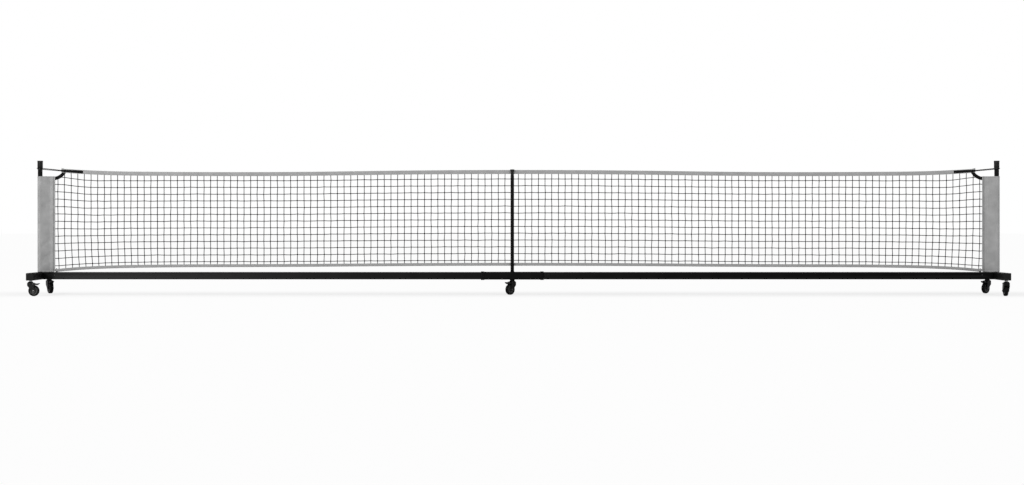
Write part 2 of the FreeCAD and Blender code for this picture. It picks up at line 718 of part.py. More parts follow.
def caster_fork(name, at):
    """The swivel fork: a pressed head, a crown over the tyre, two legs and the axle."""
    body = new_body(name)
    axle_z = wheel_radius
    heel = pedal_x + pedal_knuckle + pedal_gap
    drawn = sketch_on(body, "side", "XZ_Plane")
    polygon(drawn, [
        (-fork_lead, crown_top),
        (-fork_lead, crown_bottom - fork_leg),
        (caster_trail - axle_boss * 1.6, axle_z + axle_boss / 2),
        (caster_trail - axle_boss, axle_z - axle_boss / 2),
        (caster_trail - axle_boss / 2, axle_z - axle_boss),
        (caster_trail + axle_boss / 2, axle_z - axle_boss),
        (caster_trail + axle_boss, axle_z - axle_boss / 2),
        (caster_trail + axle_boss, axle_z + axle_boss / 2),
        (heel, crown_bottom),
        (heel, crown_top),
    ])
    pad(body, "side", drawn, fork_width, both=True)
    dress(body, "Chamfer", "nose",
          lambda edge: isinstance(edge.Curve, Part.Line)
          and abs(edge.CenterOfMass.x + float(fork_lead)) < 0.01
          and abs(abs(edge.CenterOfMass.y) - float(fork_width) / 2) < 0.01,
          fork_nose)
    half = fork_width / 2
    rise = (fork_top - crown_top) / 2
    for step, narrower in enumerate((0, head_step)):
        drawn = sketch_on(body, f"head_{step}", "XY_Plane", crown_top + rise * step)
        polygon(drawn, [((half - narrower) * a, (half - narrower) * b) for a, b in ring_of(12)])
        pad(body, f"head_{step}", drawn, rise)
    inside = fork_width - fork_leg * 2
    far = wheel_radius * 2
    drawn = sketch_on(body, "throat", "XZ_Plane")
    polygon(drawn, [(-far, axle_z), (-fork_lead - margin, crown_bottom - axle_boss * 1.4), (-fork_lead / 2, crown_bottom),
                    (far, crown_bottom), (far, 0), (-far, 0)])
    pocket(body, "throat", drawn, inside, both=True)
    bay = pedal_x - pedal_knuckle - pedal_gap
    drawn = sketch_on(body, "pedal_bay", "XZ_Plane")
    floor = crown_bottom - margin
    roof = fork_top + margin
    polygon(drawn, [(bay, floor), (far, floor), (far, roof), (bay, roof)])
    pocket(body, "pedal_bay", drawn, inside, both=True)
    hole(body, "stem_bore", "XY_Plane", fork_top, 0, 0, stem_radius + running_gap,
         fork_top - crown_bottom)
    drawn = sketch_on(body, "axle", "XZ_Plane")
    circle(drawn, caster_trail, axle_z, axle_radius)
    pad(body, "axle", drawn, fork_width, both=True)
    for side in (-1, 1):
        drawn = sketch_on(body, f"axle_end_{side + 2}", "XZ_Plane", half * side)
        polygon(drawn, [(caster_trail + axle_radius * 1.8 * a, axle_z + axle_radius * 1.8 * b) for a, b in ring_of(6)])
        pad(body, f"axle_end_{side + 2}", drawn, axle_radius, back=side < 0)
    drawn = sketch_on(body, "pin", "XZ_Plane")
    polygon(drawn, [(pedal_x + pedal_pin * a, pedal_z + pedal_pin * b) for a, b in ring_of(8)])
    pad(body, "pin", drawn, fork_width, both=True)
    return set_caster(body, at)


def caster_wheel(name, at):
    """The wheel with its tyre, bored for the axle."""
    body = new_body(name)
    drawn = sketch_on(body, "tread", "XZ_Plane")
    circle(drawn, 0, 0, wheel_radius)
    circle(drawn, 0, 0, axle_radius + slip_gap)
    pad(body, "tread", drawn, tread_width, both=True)
    for side in (-1, 1):
        drawn = sketch_on(body, f"hub_{side + 2}", "XZ_Plane", tread_width / 2 * side)
        polygon(drawn, [(hub_radius * a, hub_radius * b) for a, b in ring_of(12)])
        circle(drawn, 0, 0, axle_radius + slip_gap)
        pad(body, f"hub_{side + 2}", drawn, hub_side - running_gap * 2, back=side < 0)
    x, y, turn = at
    angle = math.radians(float(turn))
    bind(body, "Placement.Base.x", x + caster_trail * round(math.cos(angle), 9))
    bind(body, "Placement.Base.y", y + caster_trail * round(math.sin(angle), 9))
    bind(body, "Placement.Base.z", wheel_radius)
    bind(body, "Placement.Rotation.Angle", turn)
    return body


def caster_pedal(name, at):
    """The brake pedal: a knuckle in the fork, a pad over the tyre and a toe."""
    body = new_body(name)
    k = pedal_knuckle
    span = pedal_reach - pedal_x
    drawn = sketch_on(body, "side", "XZ_Plane")
    polygon(drawn, [
        (pedal_x - k, pedal_z),
        (pedal_x - k / 2, pedal_z - k),
        (pedal_x + span / 4, pedal_z - k * 1.4),
        (pedal_x + span / 2, pedal_z - k * 2.2),
        (pedal_x + span * 0.78, pedal_z - k * 1.8),
        (pedal_reach, pedal_z),
        (pedal_reach - 1, pedal_z + k * 0.7),
        (pedal_x + span * 0.75, pedal_z),
        (pedal_x + span * 0.4, pedal_z + 1),
        (pedal_x + k / 2, pedal_z + k),
        (pedal_x - k / 2, pedal_z + k),
    ])
    circle(drawn, pedal_x, pedal_z, pedal_pin + slip_gap)
    pad(body, "side", drawn, fork_width - fork_leg * 2 - running_gap * 2, both=True)
    return set_caster(body, at)


def curve_through(points):
    """Arcs that meet smoothly: level at the first point, then through each."""
    arcs = []
    slope = 0.0
    for (xa, za), (xb, zb) in zip(points, points[1:]):
        chord = math.atan2(zb - za, xb - xa)
        start = math.atan(slope)
        turn = 2 * (chord - start)
        length = math.hypot(xb - xa, zb - za)
        radius = length / (2 * math.sin(turn / 2))
        centre_x = xa - radius * math.sin(start)
        centre_z = za + radius * math.cos(start)
        arcs.append((xa, xb, centre_x, centre_z, radius))
        slope = math.tan(start + turn)
    return arcs


def height_at(line, x):
    """Height of the curve at a distance to either side of the middle."""
    x = abs(x)
    for xa, xb, centre_x, centre_z, radius in line:
        if x <= xb:
            break
    side = -1 if radius > 0 else 1
    return centre_z + side * math.sqrt(radius ** 2 - (x - centre_x) ** 2)


def curve_edges(line, x_from, x_to, drop):
    """The curve's arcs between two places, moved down by a distance."""
    joints = [0.0]
    for xa, xb, centre_x, centre_z, radius in line:
        joints += [xb, -xb]
    stops = sorted([x for x in joints if x_from < x < x_to] + [x_from, x_to])
    if 0.0 in stops:
        stops.remove(0.0)
    edges = []
    for xa, xb in zip(stops, stops[1:]):
        ends = [Vector(x, 0, height_at(line, x) - drop) for x in (xa, (xa + xb) / 2, xb)]
        edges.append(Part.Arc(*ends).toShape())
    return edges


def straight(a, b):
    return Part.LineSegment(Vector(a), Vector(b)).toShape()


def plate(edges, y_from, y_to):
    """A solid between two depths, from an outline seen from the front."""
    wire = Part.Wire(Part.__sortEdges__(edges))
    face = Part.Face(wire)
    face.translate(Vector(0, y_from, 0))
    return face.extrude(Vector(0, y_to - y_from, 0))


def strip(line, x_from, x_to, top_drop, bottom_drop, y_from, y_to):
    """A strip that follows a curve between two drops below it."""
    upper = curve_edges(line, x_from, x_to, top_drop)
    lower = curve_edges(line, x_from, x_to, bottom_drop)
    sides = [straight((x, 0, height_at(line, x) - top_drop), (x, 0, height_at(line, x) - bottom_drop))
             for x in (x_from, x_to)]
    return plate(upper + lower + sides, y_from, y_to)


def keep(name, shape):
    """A sub-part whose shape is computed here."""
    made = doc.addObject("Part::Feature", name)
    made.Label = name
    made.Shape = shape
    return made


def tangent_angle(distance, across, radius):
    """Where a line from a point meets a circle about the origin, in radians."""
    return math.atan2(across, distance) + math.acos(radius / math.hypot(distance, across))


def top_tape():
    """The headband, with a slot along its lower edge for the mesh."""
    end = float(tape_end)
    half = float(band_thickness) / 2
    slot = float(band_slot) / 2
    y = float(net_plane)
    solid = strip(tape_line, -end, end, 0.0, float(tape_height), y - half, y + half)
    over = float(margin)
    groove = strip(tape_line, -end - over, end + over, float(tape_height - seam_depth), float(tape_height) + over,
                   y - slot, y + slot)
    return keep("top_tape", solid.cut(groove))


def bottom_band():
    """The bottom band, with a slot for the mesh and a loop at each end."""
    end = float(band_end)
    half = float(band_thickness) / 2
    slot = float(band_slot) / 2
    y = float(net_plane)
    solid = strip(band_line, -end, end, 0.0, float(band_height), y - half, y + half)
    over = float(margin)
    groove = strip(band_line, -end - over, end + over, -over, float(seam_depth), y - slot, y + slot)
    solid = solid.cut(groove)
    low = float(band_low - loop_height)
    high = height_at(band_line, end)
    bore = float(peg_radius + slip_gap)
    wall = bore + float(cloth)
    for side in (-1, 1):
        x = float(peg_x) * side
        tip = x + wall * side
        loop = Part.makeBox(abs(tip - end * side), wall * 2, high - low,
                            Vector(min(tip, end * side), y - wall, low))
        solid = solid.fuse(loop)
        solid = solid.cut(Part.makeCylinder(bore, high - low, Vector(x, y, low)))
    return keep("bottom_tape", solid.removeSplitter())


def corner_binding():
    """Centre, radius and angles of the arc that the corner binding follows."""
    start = Vector(-float(sleeve_inner), 0, float(strap_low))
    finish = Vector(-float(strap_end), 0, float(strap_high))
    way = finish - start
    slope = math.radians(float(strap_slope))
    turn = 2 * (math.atan2(way.z, way.x) - slope)
    radius = way.Length / (2 * math.sin(turn / 2))
    centre = start + Vector(-math.sin(slope), 0, math.cos(slope)) * radius
    first = slope - math.pi / 2
    return centre, radius, first, first + turn


def arc_point(centre, radius, angle):
    return centre + Vector(math.cos(angle), 0, math.sin(angle)) * radius


def neck_strap(name, side):
    """The curved binding between a sleeve and the end of the tape."""
    centre, radius, first, last = corner_binding()
    half = float(strap_width) / 2
    stop = last + (last - first) / 2
    edges = []
    corners = []
    for ring in (radius - half, radius + half):
        ends = [arc_point(centre, ring, angle) for angle in (first, (first + stop) / 2, stop)]
        edges.append(Part.Arc(*ends).toShape())
        corners.append(ends)
    edges.append(straight(corners[0][0], corners[1][0]))
    edges.append(straight(corners[0][2], corners[1][2]))
    depth = float(band_thickness) / 2
    y = float(net_plane)
    solid = plate(edges, y - depth, y + depth)
    gap = float(slip_gap)
    reach = float(sleeve_inner)
    sleeve_side = Part.makeBox(reach, reach, reach, Vector(gap - reach * 2, -reach / 2, 0))
    tape_end_space = strip(tape_line, -float(tape_end) - gap, -float(tape_end) / 2,
                           -gap, float(tape_height) + gap, y - depth * 2, y + depth * 2)
    solid = solid.cut(sleeve_side).cut(tape_end_space)
    solid = min(solid.Solids, key=lambda piece: piece.CenterOfMass.z)
    if side > 0:
        solid = solid.mirror(Vector(), Vector(1, 0, 0))
    return keep(name, solid)


def net_mesh():
    """One holed sheet from band to tape and from sleeve to sleeve."""
    y = float(net_plane)
    half = float(mesh_thickness) / 2
    gap = float(slip_gap)
    strand = float(mesh_strand) / 2
    edge = float(sleeve_inner + seam_depth - slip_gap)
    top_drop = float(tape_height - seam_depth) + gap
    low_drop = float(seam_depth) - gap
    centre, radius, first, last = corner_binding()
    ring = radius + float(strap_width) / 2 + gap
    tape_x = float(strap_end) - float(strap_width)
    tape_z = height_at(tape_line, tape_x) - float(tape_height)
    reach_x = -tape_x
    angle = math.acos((reach_x - centre.x) / ring)
    low_start = arc_point(centre, ring, first)
    high = arc_point(centre, ring, -angle)
    middle = arc_point(centre, ring, (first - angle) / 2)
    band_stop = float(band_end)
    base = float(sleeve_bottom + mesh_foot)
    edges = curve_edges(tape_line, -tape_x, tape_x, top_drop)
    edges += curve_edges(band_line, -band_stop, band_stop, low_drop)
    for side in (-1, 1):
        def at(x, z):
            return Vector(x * -side, 0, z)
        top = at(-tape_x, height_at(tape_line, tape_x) - top_drop)
        edges.append(straight(top, at(high.x, high.z)))
        edges.append(Part.Arc(at(high.x, high.z), at(middle.x, middle.z), at(low_start.x, low_start.z)).toShape())
        edges.append(straight(at(low_start.x, low_start.z), at(-edge, low_start.z)))
        edges.append(straight(at(-edge, low_start.z), at(-edge, base)))
        foot_z = height_at(band_line, band_stop) - low_drop
        edges.append(straight(at(-edge, base), at(-band_stop, base)))
        edges.append(straight(at(-band_stop, base), at(-band_stop, foot_z)))
    outline = Part.Wire(Part.__sortEdges__(edges))
    left = -float(sleeve_inner)
    pitch = -2 * left / mesh_columns
    holes = []
    for column in range(mesh_columns):
        xa = left + pitch * column + strand
        xb = left + pitch * (column + 1) - strand
        for row in range(mesh_rows):
            ring_points = []
            for x, step in ((xa, row), (xb, row), (xb, row + 1), (xa, row + 1)):
                low = height_at(band_line, abs(x)) if abs(x) < band_stop - strand else base + strand * 3
                top = height_at(tape_line, min(abs(x), tape_x)) - float(tape_height)
                inset = strand if step == row else -strand
                if step in (0, mesh_rows):
                    inset *= -1
                ring_points.append(Vector(x, 0, low + (top - low) * step / mesh_rows + inset))
            clipped = clip_corner(ring_points, centre, ring + strand * 2)
            if clipped:
                holes.append(Part.makePolygon(clipped + [clipped[0]]))
    face = Part.Face([outline] + holes)
    face.translate(Vector(0, y - half, 0))
    return keep("net_mesh", face.extrude(Vector(0, half * 2, 0)))


def clip_corner(points, centre, ring):
    """Keep an opening of the mesh below the corner binding."""
    mirrored_centre = Vector(-centre.x, 0, centre.z)
    for middle in (centre, mirrored_centre):
        moved = []
        for point in points:
            away = point - middle
            if away.Length < ring:
                depth = math.sqrt(max(ring ** 2 - away.x ** 2, 0.0))
                point = Vector(point.x, 0, min(point.z, middle.z - depth))
            moved.append(point)
        points = moved
    low = min(point.z for point in points[:2])
    high = min(point.z for point in points[2:])
    if high - low < float(mesh_strand) * 2:
        return None
    return points


def webbing():
    """Black webbing folded over both ends of the tape."""
    half = float(band_thickness) / 2
    wrap = half + float(cloth)
    y = float(net_plane)
    end = float(tape_end)
    filled = strip(tape_line, -end, end, 0.0, float(tape_height), y - half, y + half)
    mid_drop = float(tape_height) / 2
    outer = float(tape_end) + float(cloth) * 2
    inner = float(webbing_inner)
    pieces = []
    for side in (-1, 1):
        corners = []
        for x, tall in ((outer, webbing_short), (inner, webbing_tall)):
            middle = height_at(tape_line, min(x, float(tape_end))) - mid_drop
            corners.append((x * side, middle, float(tall) / 2))
        (xa, za, ha), (xb, zb, hb) = corners
        points = [Vector(xa, 0, za - ha), Vector(xb, 0, zb - hb), Vector(xb, 0, zb + hb), Vector(xa, 0, za + ha)]
        edges = [straight(points[i], points[(i + 1) % 4]) for i in range(4)]
        pieces.append(plate(edges, y - wrap, y + wrap).cut(filled))
    return keep("tape_webbing", Part.makeCompound(pieces))


def tie_cord(name, side):
    """A cord loop round a post's fitting, with both ends in the webbing."""
    radius = float(cap_radius - groove_depth + slip_gap + cord_radius)
    outer = float(tape_end) + float(cloth) * 2 + float(cord_radius) / 2
    length_x = float(post_x) - outer
    drop = float(cord_height) - (height_at(tape_line, float(tape_end)) - float(tape_height) / 2)
    across = float(net_plane)
    level = math.hypot(length_x, across)
    span = math.hypot(level, drop)
    spread = float(cord_radius + strand_gap)
    angle = tangent_angle(span, spread, radius)
    turns = 12
    step = (math.pi - angle) * 2 / turns
    corner = radius / math.cos(step / 2)
    bends = [angle + step * (index + 0.5) for index in range(turns)]
    route = [Vector(span, spread, 0)]
    route += [Vector(corner * math.cos(bend), corner * math.sin(bend), 0) for bend in bends]
    route += [Vector(span, -spread, 0)]
    path = Part.makePolygon(route)
    way = (route[1] - route[0]).normalize()
    side_way = Vector(-way.y, way.x, 0)
    section = []
    for a, b in ring_of(8):
        section.append(route[0] + side_way * (a * float(cord_radius)) + Vector(0, 0, b * float(cord_radius)))
    solid = path.makePipeShell([Part.makePolygon(section + section[:1])], True, False, 1)
    area = Part.Face(Part.makePolygon(section + section[:1])).Area
    share = solid.Volume / (area * path.Length)
    print(f"{name}: length {path.Length:.1f}, bend radius {radius:.1f}, volume {share:.4f} of section times length")
    tilt = math.degrees(math.atan2(drop, level))
    yaw = math.degrees(math.atan2(across, length_x))
    made = keep(name, solid)
    turned = Rotation(Vector(0, 0, 1), yaw).multiply(Rotation(Vector(0, 1, 0), tilt))
    if side > 0:
        turned = Rotation(Vector(0, 0, 1), 180 - yaw).multiply(Rotation(Vector(0, 1, 0), tilt))
    made.Placement = Placement(Vector(float(post_x) * side, 0, float(cord_height)), turned)
    return made


def post_sleeve(name, side):
    """The cloth pocket round a post, closing to a flat panel at the net."""
    outer = float(sleeve_radius)
    inner = outer - float(cloth)
    half = float(band_thickness) / 2
    y = float(net_plane)
    edge = float(post_x - sleeve_inner)
    join = edge - float(seam_depth) * 3
    front = Vector(join, y - half, 0)
    rear = Vector(edge, y + half, 0)
    rear_turn = tangent_angle(rear.x, rear.y, outer)
    front_turn = -tangent_angle(front.x, -front.y, outer)
    rear_touch = Vector(outer * math.cos(rear_turn), outer * math.sin(rear_turn), 0)
    front_touch = Vector(outer * math.cos(front_turn), outer * math.sin(front_turn), 0)
    shell = Part.Wire([
        straight(rear, rear_touch),
        Part.Arc(rear_touch, Vector(-outer, 0, 0), front_touch).toShape(),
        straight(front_touch, front),
        straight(front, Vector(edge, y - half, 0)),
        straight(Vector(edge, y - half, 0), rear),
    ])
    tip = Vector(join - float(seam_depth) / 2, y, 0)
    rear_turn = tangent_angle(tip.x, tip.y, inner)
    front_turn = -tangent_angle(tip.x, -tip.y, inner)
    rear_touch = Vector(inner * math.cos(rear_turn), inner * math.sin(rear_turn), 0)
    front_touch = Vector(inner * math.cos(front_turn), inner * math.sin(front_turn), 0)
    pocket_wire = Part.Wire([
        straight(tip, rear_touch),
        Part.Arc(rear_touch, Vector(-inner, 0, 0), front_touch).toShape(),
        straight(front_touch, tip),
    ])
    height = float(sleeve_top - sleeve_bottom)
    solid = Part.Face(shell).extrude(Vector(0, 0, height)).cut(Part.Face(pocket_wire).extrude(Vector(0, 0, height)))
    slot = float(band_slot)
    solid = solid.cut(Part.makeBox(float(seam_depth), slot, height, Vector(edge - float(seam_depth), y - slot / 2, 0)))
    if side > 0:
        solid = solid.mirror(Vector(), Vector(1, 0, 0))
    made = keep(name, solid)
    made.Placement = Placement(Vector(float(post_x) * side, 0, float(sleeve_bottom)), Rotation())
    return made


def corner_pegs():
    """The pegs welded on the beam, for the loops of the bottom band."""
    pegs = []
    for side in (-1, 1):
        body = doc.addObject("PartDesign::Body", f"peg_{side + 2}")
        drawn = sketch_on(body, "foot", "XY_Plane", tube_top)
        hexagon(drawn, peg_flange)
        pad(body, "foot", drawn, peg_flange_height)
        drawn = sketch_on(body, "shank", "XY_Plane", tube_top)
        circle(drawn, 0, 0, peg_radius)
        pad(body, "shank", drawn, peg_height)
        bind(body, "Placement.Base.x", peg_x * side)
        bind(body, "Placement.Base.y", net_plane)
        pegs.append(body)
    return group("corner_pegs", pegs)


# Sag of the headband: share of the way to its end, then height over its middle
tape_sag = ((0, 0), (0.3646, -8.9), (0.67, -14.7), (0.8414, -11.4), (0.9411, -2.2), (1, float(tape_rise)))
tape_line = curve_through([(out * float(tape_end), float(net_height) + rise) for out, rise in tape_sag])

# Fall of the bottom band towards the pegs: share of the way out, then share of the fall
band_fall = ((0, 0), (0.3616, 0.12), (0.6644, 0.234), (0.8498, 0.376), (0.9333, 0.6), (0.9858, 0.896), (1, 1))
fall = float(band_middle - band_low)
band_line = curve_through([(out * float(band_end), float(band_middle) - down * fall) for out, down in band_fall])

parts = []
inner_left = centre_shift - coupler_web / 2
inner_right = centre_shift + coupler_web / 2
parts.append(beam("beam_left", -1, inner_left))
parts.append(beam("beam_right", 1, inner_right))
parts.append(coupler())
parts.append(coupler_bolts())
for label, way in (("left", -1), ("right", 1)):
    parts.append(foot(f"foot_{label}", way))
    parts.append(post(f"post_{label}", way))
    parts.append(snap_button(f"snap_button_{label}", way))
    parts.append(snap_spring(f"snap_spring_{label}", way))
    parts.append(tie_cord(f"tie_cord_{label}", way))
    parts.append(post_sleeve(f"post_sleeve_{label}", way))
parts.append(foot_end_caps())
parts.append(post_caps())
parts.append(centre_post())
parts.append(centre_hook())
parts.append(top_tape())
parts.append(bottom_band())
parts.append(webbing())
parts.append(neck_strap("neck_strap_left", -1))
parts.append(neck_strap("neck_strap_right", 1))
parts.append(net_mesh())
parts.append(corner_pegs())

casters = {
    "front_left": (-post_x, -stem_offset, front_left_turn),
    "rear_left": (-post_x, stem_offset, rear_left_turn),
    "centre": (centre_shift, as_size(0), centre_turn),
    "rear_right": (post_x, stem_offset, rear_right_turn),
    "front_right": (post_x, -stem_offset, front_right_turn),
}
parts.append(caster_stems())
for place, at in casters.items():
    parts.append(caster_fork(f"{place}_fork", at))
    parts.append(caster_wheel(f"{place}_wheel", at))
    parts.append(caster_pedal(f"{place}_brake_pedal", at))

doc.recompute()
for thing in doc.Objects:
    if "Invalid" in thing.State or "Error" in thing.State:
        raise ValueError(f"{thing.Name} failed: {thing.State}")
for part in parts:
    if part.Shape.isNull() or not part.Shape.isValid():
        raise ValueError(f"{part.Label} has no valid shape")

os.makedirs("parts", exist_ok=True)
for part in parts:
    part.Shape.exportStep(f"parts/{part.Label}.step")
print(f"{len(parts)} nodes written")
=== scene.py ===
import json
import math
import random

import bmesh
import bpy
import numpy as np
from mathutils import Matrix, Vector


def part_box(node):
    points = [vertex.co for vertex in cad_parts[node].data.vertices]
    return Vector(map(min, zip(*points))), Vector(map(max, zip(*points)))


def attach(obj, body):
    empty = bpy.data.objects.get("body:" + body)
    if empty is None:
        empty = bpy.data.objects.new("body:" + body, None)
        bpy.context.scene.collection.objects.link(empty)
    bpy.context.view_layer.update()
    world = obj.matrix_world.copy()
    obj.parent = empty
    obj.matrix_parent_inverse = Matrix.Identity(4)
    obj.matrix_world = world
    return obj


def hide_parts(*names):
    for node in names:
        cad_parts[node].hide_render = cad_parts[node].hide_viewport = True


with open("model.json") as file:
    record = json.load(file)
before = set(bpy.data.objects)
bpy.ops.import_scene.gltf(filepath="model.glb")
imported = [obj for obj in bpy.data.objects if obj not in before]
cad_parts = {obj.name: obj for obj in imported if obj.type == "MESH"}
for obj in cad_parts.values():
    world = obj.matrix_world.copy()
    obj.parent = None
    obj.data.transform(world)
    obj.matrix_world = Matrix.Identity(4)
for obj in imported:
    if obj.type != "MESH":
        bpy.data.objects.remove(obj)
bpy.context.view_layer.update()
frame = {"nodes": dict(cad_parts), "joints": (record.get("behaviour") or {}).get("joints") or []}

# A portable net on a wheeled steel frame, in metres, in the frame's own axes:
# X runs along the net, -Y faces the viewer and Z is up from the floor.

MM = 0.001

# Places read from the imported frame
beam_low, beam_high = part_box("beam_left")
tube_bottom, tube_top = beam_low.z, beam_high.z
tube_middle = (tube_bottom + tube_top) / 2
coupler_low, coupler_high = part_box("centre_coupler")
coupler_x = (coupler_low.x + coupler_high.x) / 2
post_low, post_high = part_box("post_right")
post_x = (post_low.x + post_high.x) / 2
cap_low, cap_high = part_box("post_caps")
tape_low, tape_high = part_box("top_tape")
tape_end = tape_high.x
tape_thick = tape_high.y - tape_low.y
net_y = (tape_low.y + tape_high.y) / 2
band_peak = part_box("bottom_tape")[1].z
sleeve_low, sleeve_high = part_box("post_sleeve_right")
sleeve_inner = sleeve_low.x
webbing_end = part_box("tape_webbing")[1].x
PEG_FLANGE = 7 * MM
peg_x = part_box("corner_pegs")[1].x - PEG_FLANGE

# Sizes of the cloth parts
TAPE_HEIGHT = 28 * MM
BAND_HEIGHT = 20 * MM
BAND_END = peg_x - 7.5 * MM
PLY = 1.2 * MM
SEAM_DEPTH = 12 * MM
# The line of stitches along a band, from its sewn edge
SEAM_LINE = SEAM_DEPTH * 0.35
# Half a band front to back, a little less than its room in the frame
BAND_HALF = tape_thick / 2 * 0.95
# Length of a band between two of its sections
BAND_STEP = 22 * MM
# How far the headband's top corners stand up at its ends
TAPE_PEAK = 5 * MM
# Webbing on the headband: its length, and its height at the inner and outer end
WEBBING_LENGTH = 151 * MM
WEBBING_TALL = 21 * MM
WEBBING_SHORT = 15 * MM
# Loops of the bottom band: inside radius round a peg, start on the band and height over the beam
LOOP_BORE = 3.3 * MM
LOOP_START = BAND_END - 2 * MM
LOOP_LIFT = 5.3 * MM
# Binding of the net's top corners: its width, how far below the sleeve's top it starts, how far from the
# headband's end and below its top it ends, its slope in degrees at the sleeve, and the overlaps at both ends
BINDING_WIDTH = 24 * MM
BINDING_INSET = 14 * MM
BINDING_LAP = 16 * MM
BINDING_DROP = 30 * MM
BINDING_SLOPE = 12
BINDING_START = 9 * MM
BINDING_TURN = 0.16
# Cords: half the height between the strands where they start, and half the rise of the loop
CORD_RADIUS = 2.5 * MM
CORD_APART = 2.45 * MM
CORD_CLIMB = 3.3 * MM
# Where the cord lies on a post's fitting: radius in millimetres, and height over the fitting's lower end
FITTING_NECK = 18.2
FITTING_CORD = 6.5 * MM

# Coupler: half the height of its middle and of its end bands, and the bands' length and relief
COUPLER_HALF = 27 * MM
COUPLER_BAND_HALF = 29.6 * MM
COUPLER_BAND = 24 * MM
COUPLER_RELIEF = 2.2 * MM
coupler_bottom = tube_middle - COUPLER_HALF

# How much slimmer a sleeve is than the room it has: round its post, and at its inner edge
POCKET_TRIM = {"left": 3 * MM, "right": 0.5 * MM}
SLEEVE_TRIM = {"left": 2.5 * MM, "right": 6 * MM}
# Front hem of a sleeve in millimetres: distance from its edge and how far it stands out, sewn in the dip
HEM_STITCH = 11.6
HEM = ((0, 0.5), (1.2, 0.9), (5.6, 1.1), (9.4, 0.9), (HEM_STITCH, -0.7), (14, 0.2), (20, 0), (28, 0))
# How dark the front hem's seam is, soil with painted shade in its dip, from where to where it fades on both
# sides, and the depth of the end hems
SEAM_SOIL_AND_SHADE = 0.45
SEAM_FADE = (2.2 * MM, 6.5 * MM)
END_HEM = 11 * MM
# Where a sleeve's front and rear lie on its outline, as shares of the way round
SLEEVE_FRONT = (0.08, 0.36)
SLEEVE_REAR = (0.68, 1)
# Fine ripples of a sleeve, and how deep the rear's creases are next to the front's
RIPPLE = 0.12 * MM
REAR_CREASE = 0.7
# Width on which a crease's place across is counted
CREASE_SPAN = 100 * MM
# Creases of each sleeve: share across, height, slope in degrees, length, then width and depth in millimetres
CREASES = {
    "left": ((0.5, 0.64, 28, 0.09, 11, -3.0), (0.45, 0.37, 48, 0.10, 12, -3.2),
             (0.6, 0.28, 35, 0.08, 10, -3.2), (0.35, 0.50, 20, 0.08, 14, 2.0),
             (0.6, 0.74, -25, 0.07, 12, 1.8), (0.4, 0.21, 24, 0.07, 10, 2.2),
             (0.78, 0.22, 66, 0.06, 7, -3.2)),
    "right": ((0.5, 0.61, -30, 0.10, 12, -2.8), (0.55, 0.40, -52, 0.10, 12, -3.0),
              (0.45, 0.30, -20, 0.08, 10, 2.2), (0.5, 0.52, 18, 0.08, 14, -1.8),
              (0.6, 0.72, 30, 0.07, 12, 1.8), (0.4, 0.22, -30, 0.07, 10, -2.2)),
}

# Sag of the headband: share of the way to its end, then height next to its end in millimetres
TAPE_SAG = ((0, -9.5), (0.3646, -18.4), (0.67, -24.2), (0.8414, -20.9), (0.9411, -11.7), (1, 0))
# Fall of the bottom band towards the pegs: share of the way out, then share of the fall
BAND_FALL = ((0, 0), (0.3616, 0.12), (0.6644, 0.234), (0.8498, 0.376), (0.9333, 0.6), (0.9858, 0.896), (1, 1))
BAND_DROP = 42.3 * MM

# Mesh of the net: where its strands are counted from, and more strands to a side than the net has
MESH_START = -46.4 * MM
MESH_SIDE = 80
# Pitch of the upright strands to the left and right of the middle, and how it eases outwards
MESH_PITCH = (47.25 * MM, 46.78 * MM)
MESH_EASE = (0.00535 * MM, 0.0026 * MM)
MESH_LINES = 13
# Clear space between the last upright strand and the sleeve
MESH_CLEAR = 6 * MM
# How far crossings stray along and up, and how far a line sags between two strands
MESH_STRAY = (0.7 * MM, 0.6 * MM)
MESH_SAG = 0.4 * MM
# How far the net's lower corners are pulled towards the middle, at which share of the way out that is
# strongest and over which share it fades, and the heights where it starts and is full
MESH_PULL = 11 * MM
MESH_PULL_AT = 0.94
MESH_PULL_FADE = 0.2
MESH_PULL_TOP = 0.45
MESH_PULL_FULL = 0.2
TWINE_WIDE = 5.7 * MM
TWINE_THICK = 3.0 * MM
KNOT_WIDE = 9.8 * MM
KNOT_THICK = 5.2 * MM
KNOT_TALL = 1.05
KNOT_TURN = 0.3
# First line under the tape and last line over the band: share of the way out, then distance in millimetres
TOP_GAPS = ((0, 63), (0.43, 61), (0.66, 59.5), (0.83, 63.5), (0.93, 70), (1, 58))
LOW_GAPS = ((0, 17.5), (0.6, 18), (0.9, 19.5), (1, 22))


def scene_link(name, mesh):
    """A new object in the scene with this mesh."""
    made = bpy.data.objects.new(name, mesh)
    bpy.context.scene.collection.objects.link(made)
    return made


def only(obj):
    """Select one object alone and make it the active one."""
    bpy.ops.object.select_all(action="DESELECT")
    obj.select_set(True)
    bpy.context.view_layer.objects.active = obj


def open_up(made):
    """Open a piece in edit mode with everything selected."""
    only(made)
    bpy.ops.object.mode_set(mode="EDIT")
    bpy.ops.mesh.select_all(action="SELECT")


def face_outwards():
    """Leave edit mode, with every face turned outwards."""
    bpy.ops.mesh.select_all(action="SELECT")
    bpy.ops.mesh.normals_make_consistent(inside=False)
    bpy.ops.object.mode_set(mode="OBJECT")


def smooth(degrees=35):
    """Smooth shading on the active object, apart from edges sharper than this."""
    bpy.ops.object.shade_smooth_by_angle(angle=math.radians(degrees))


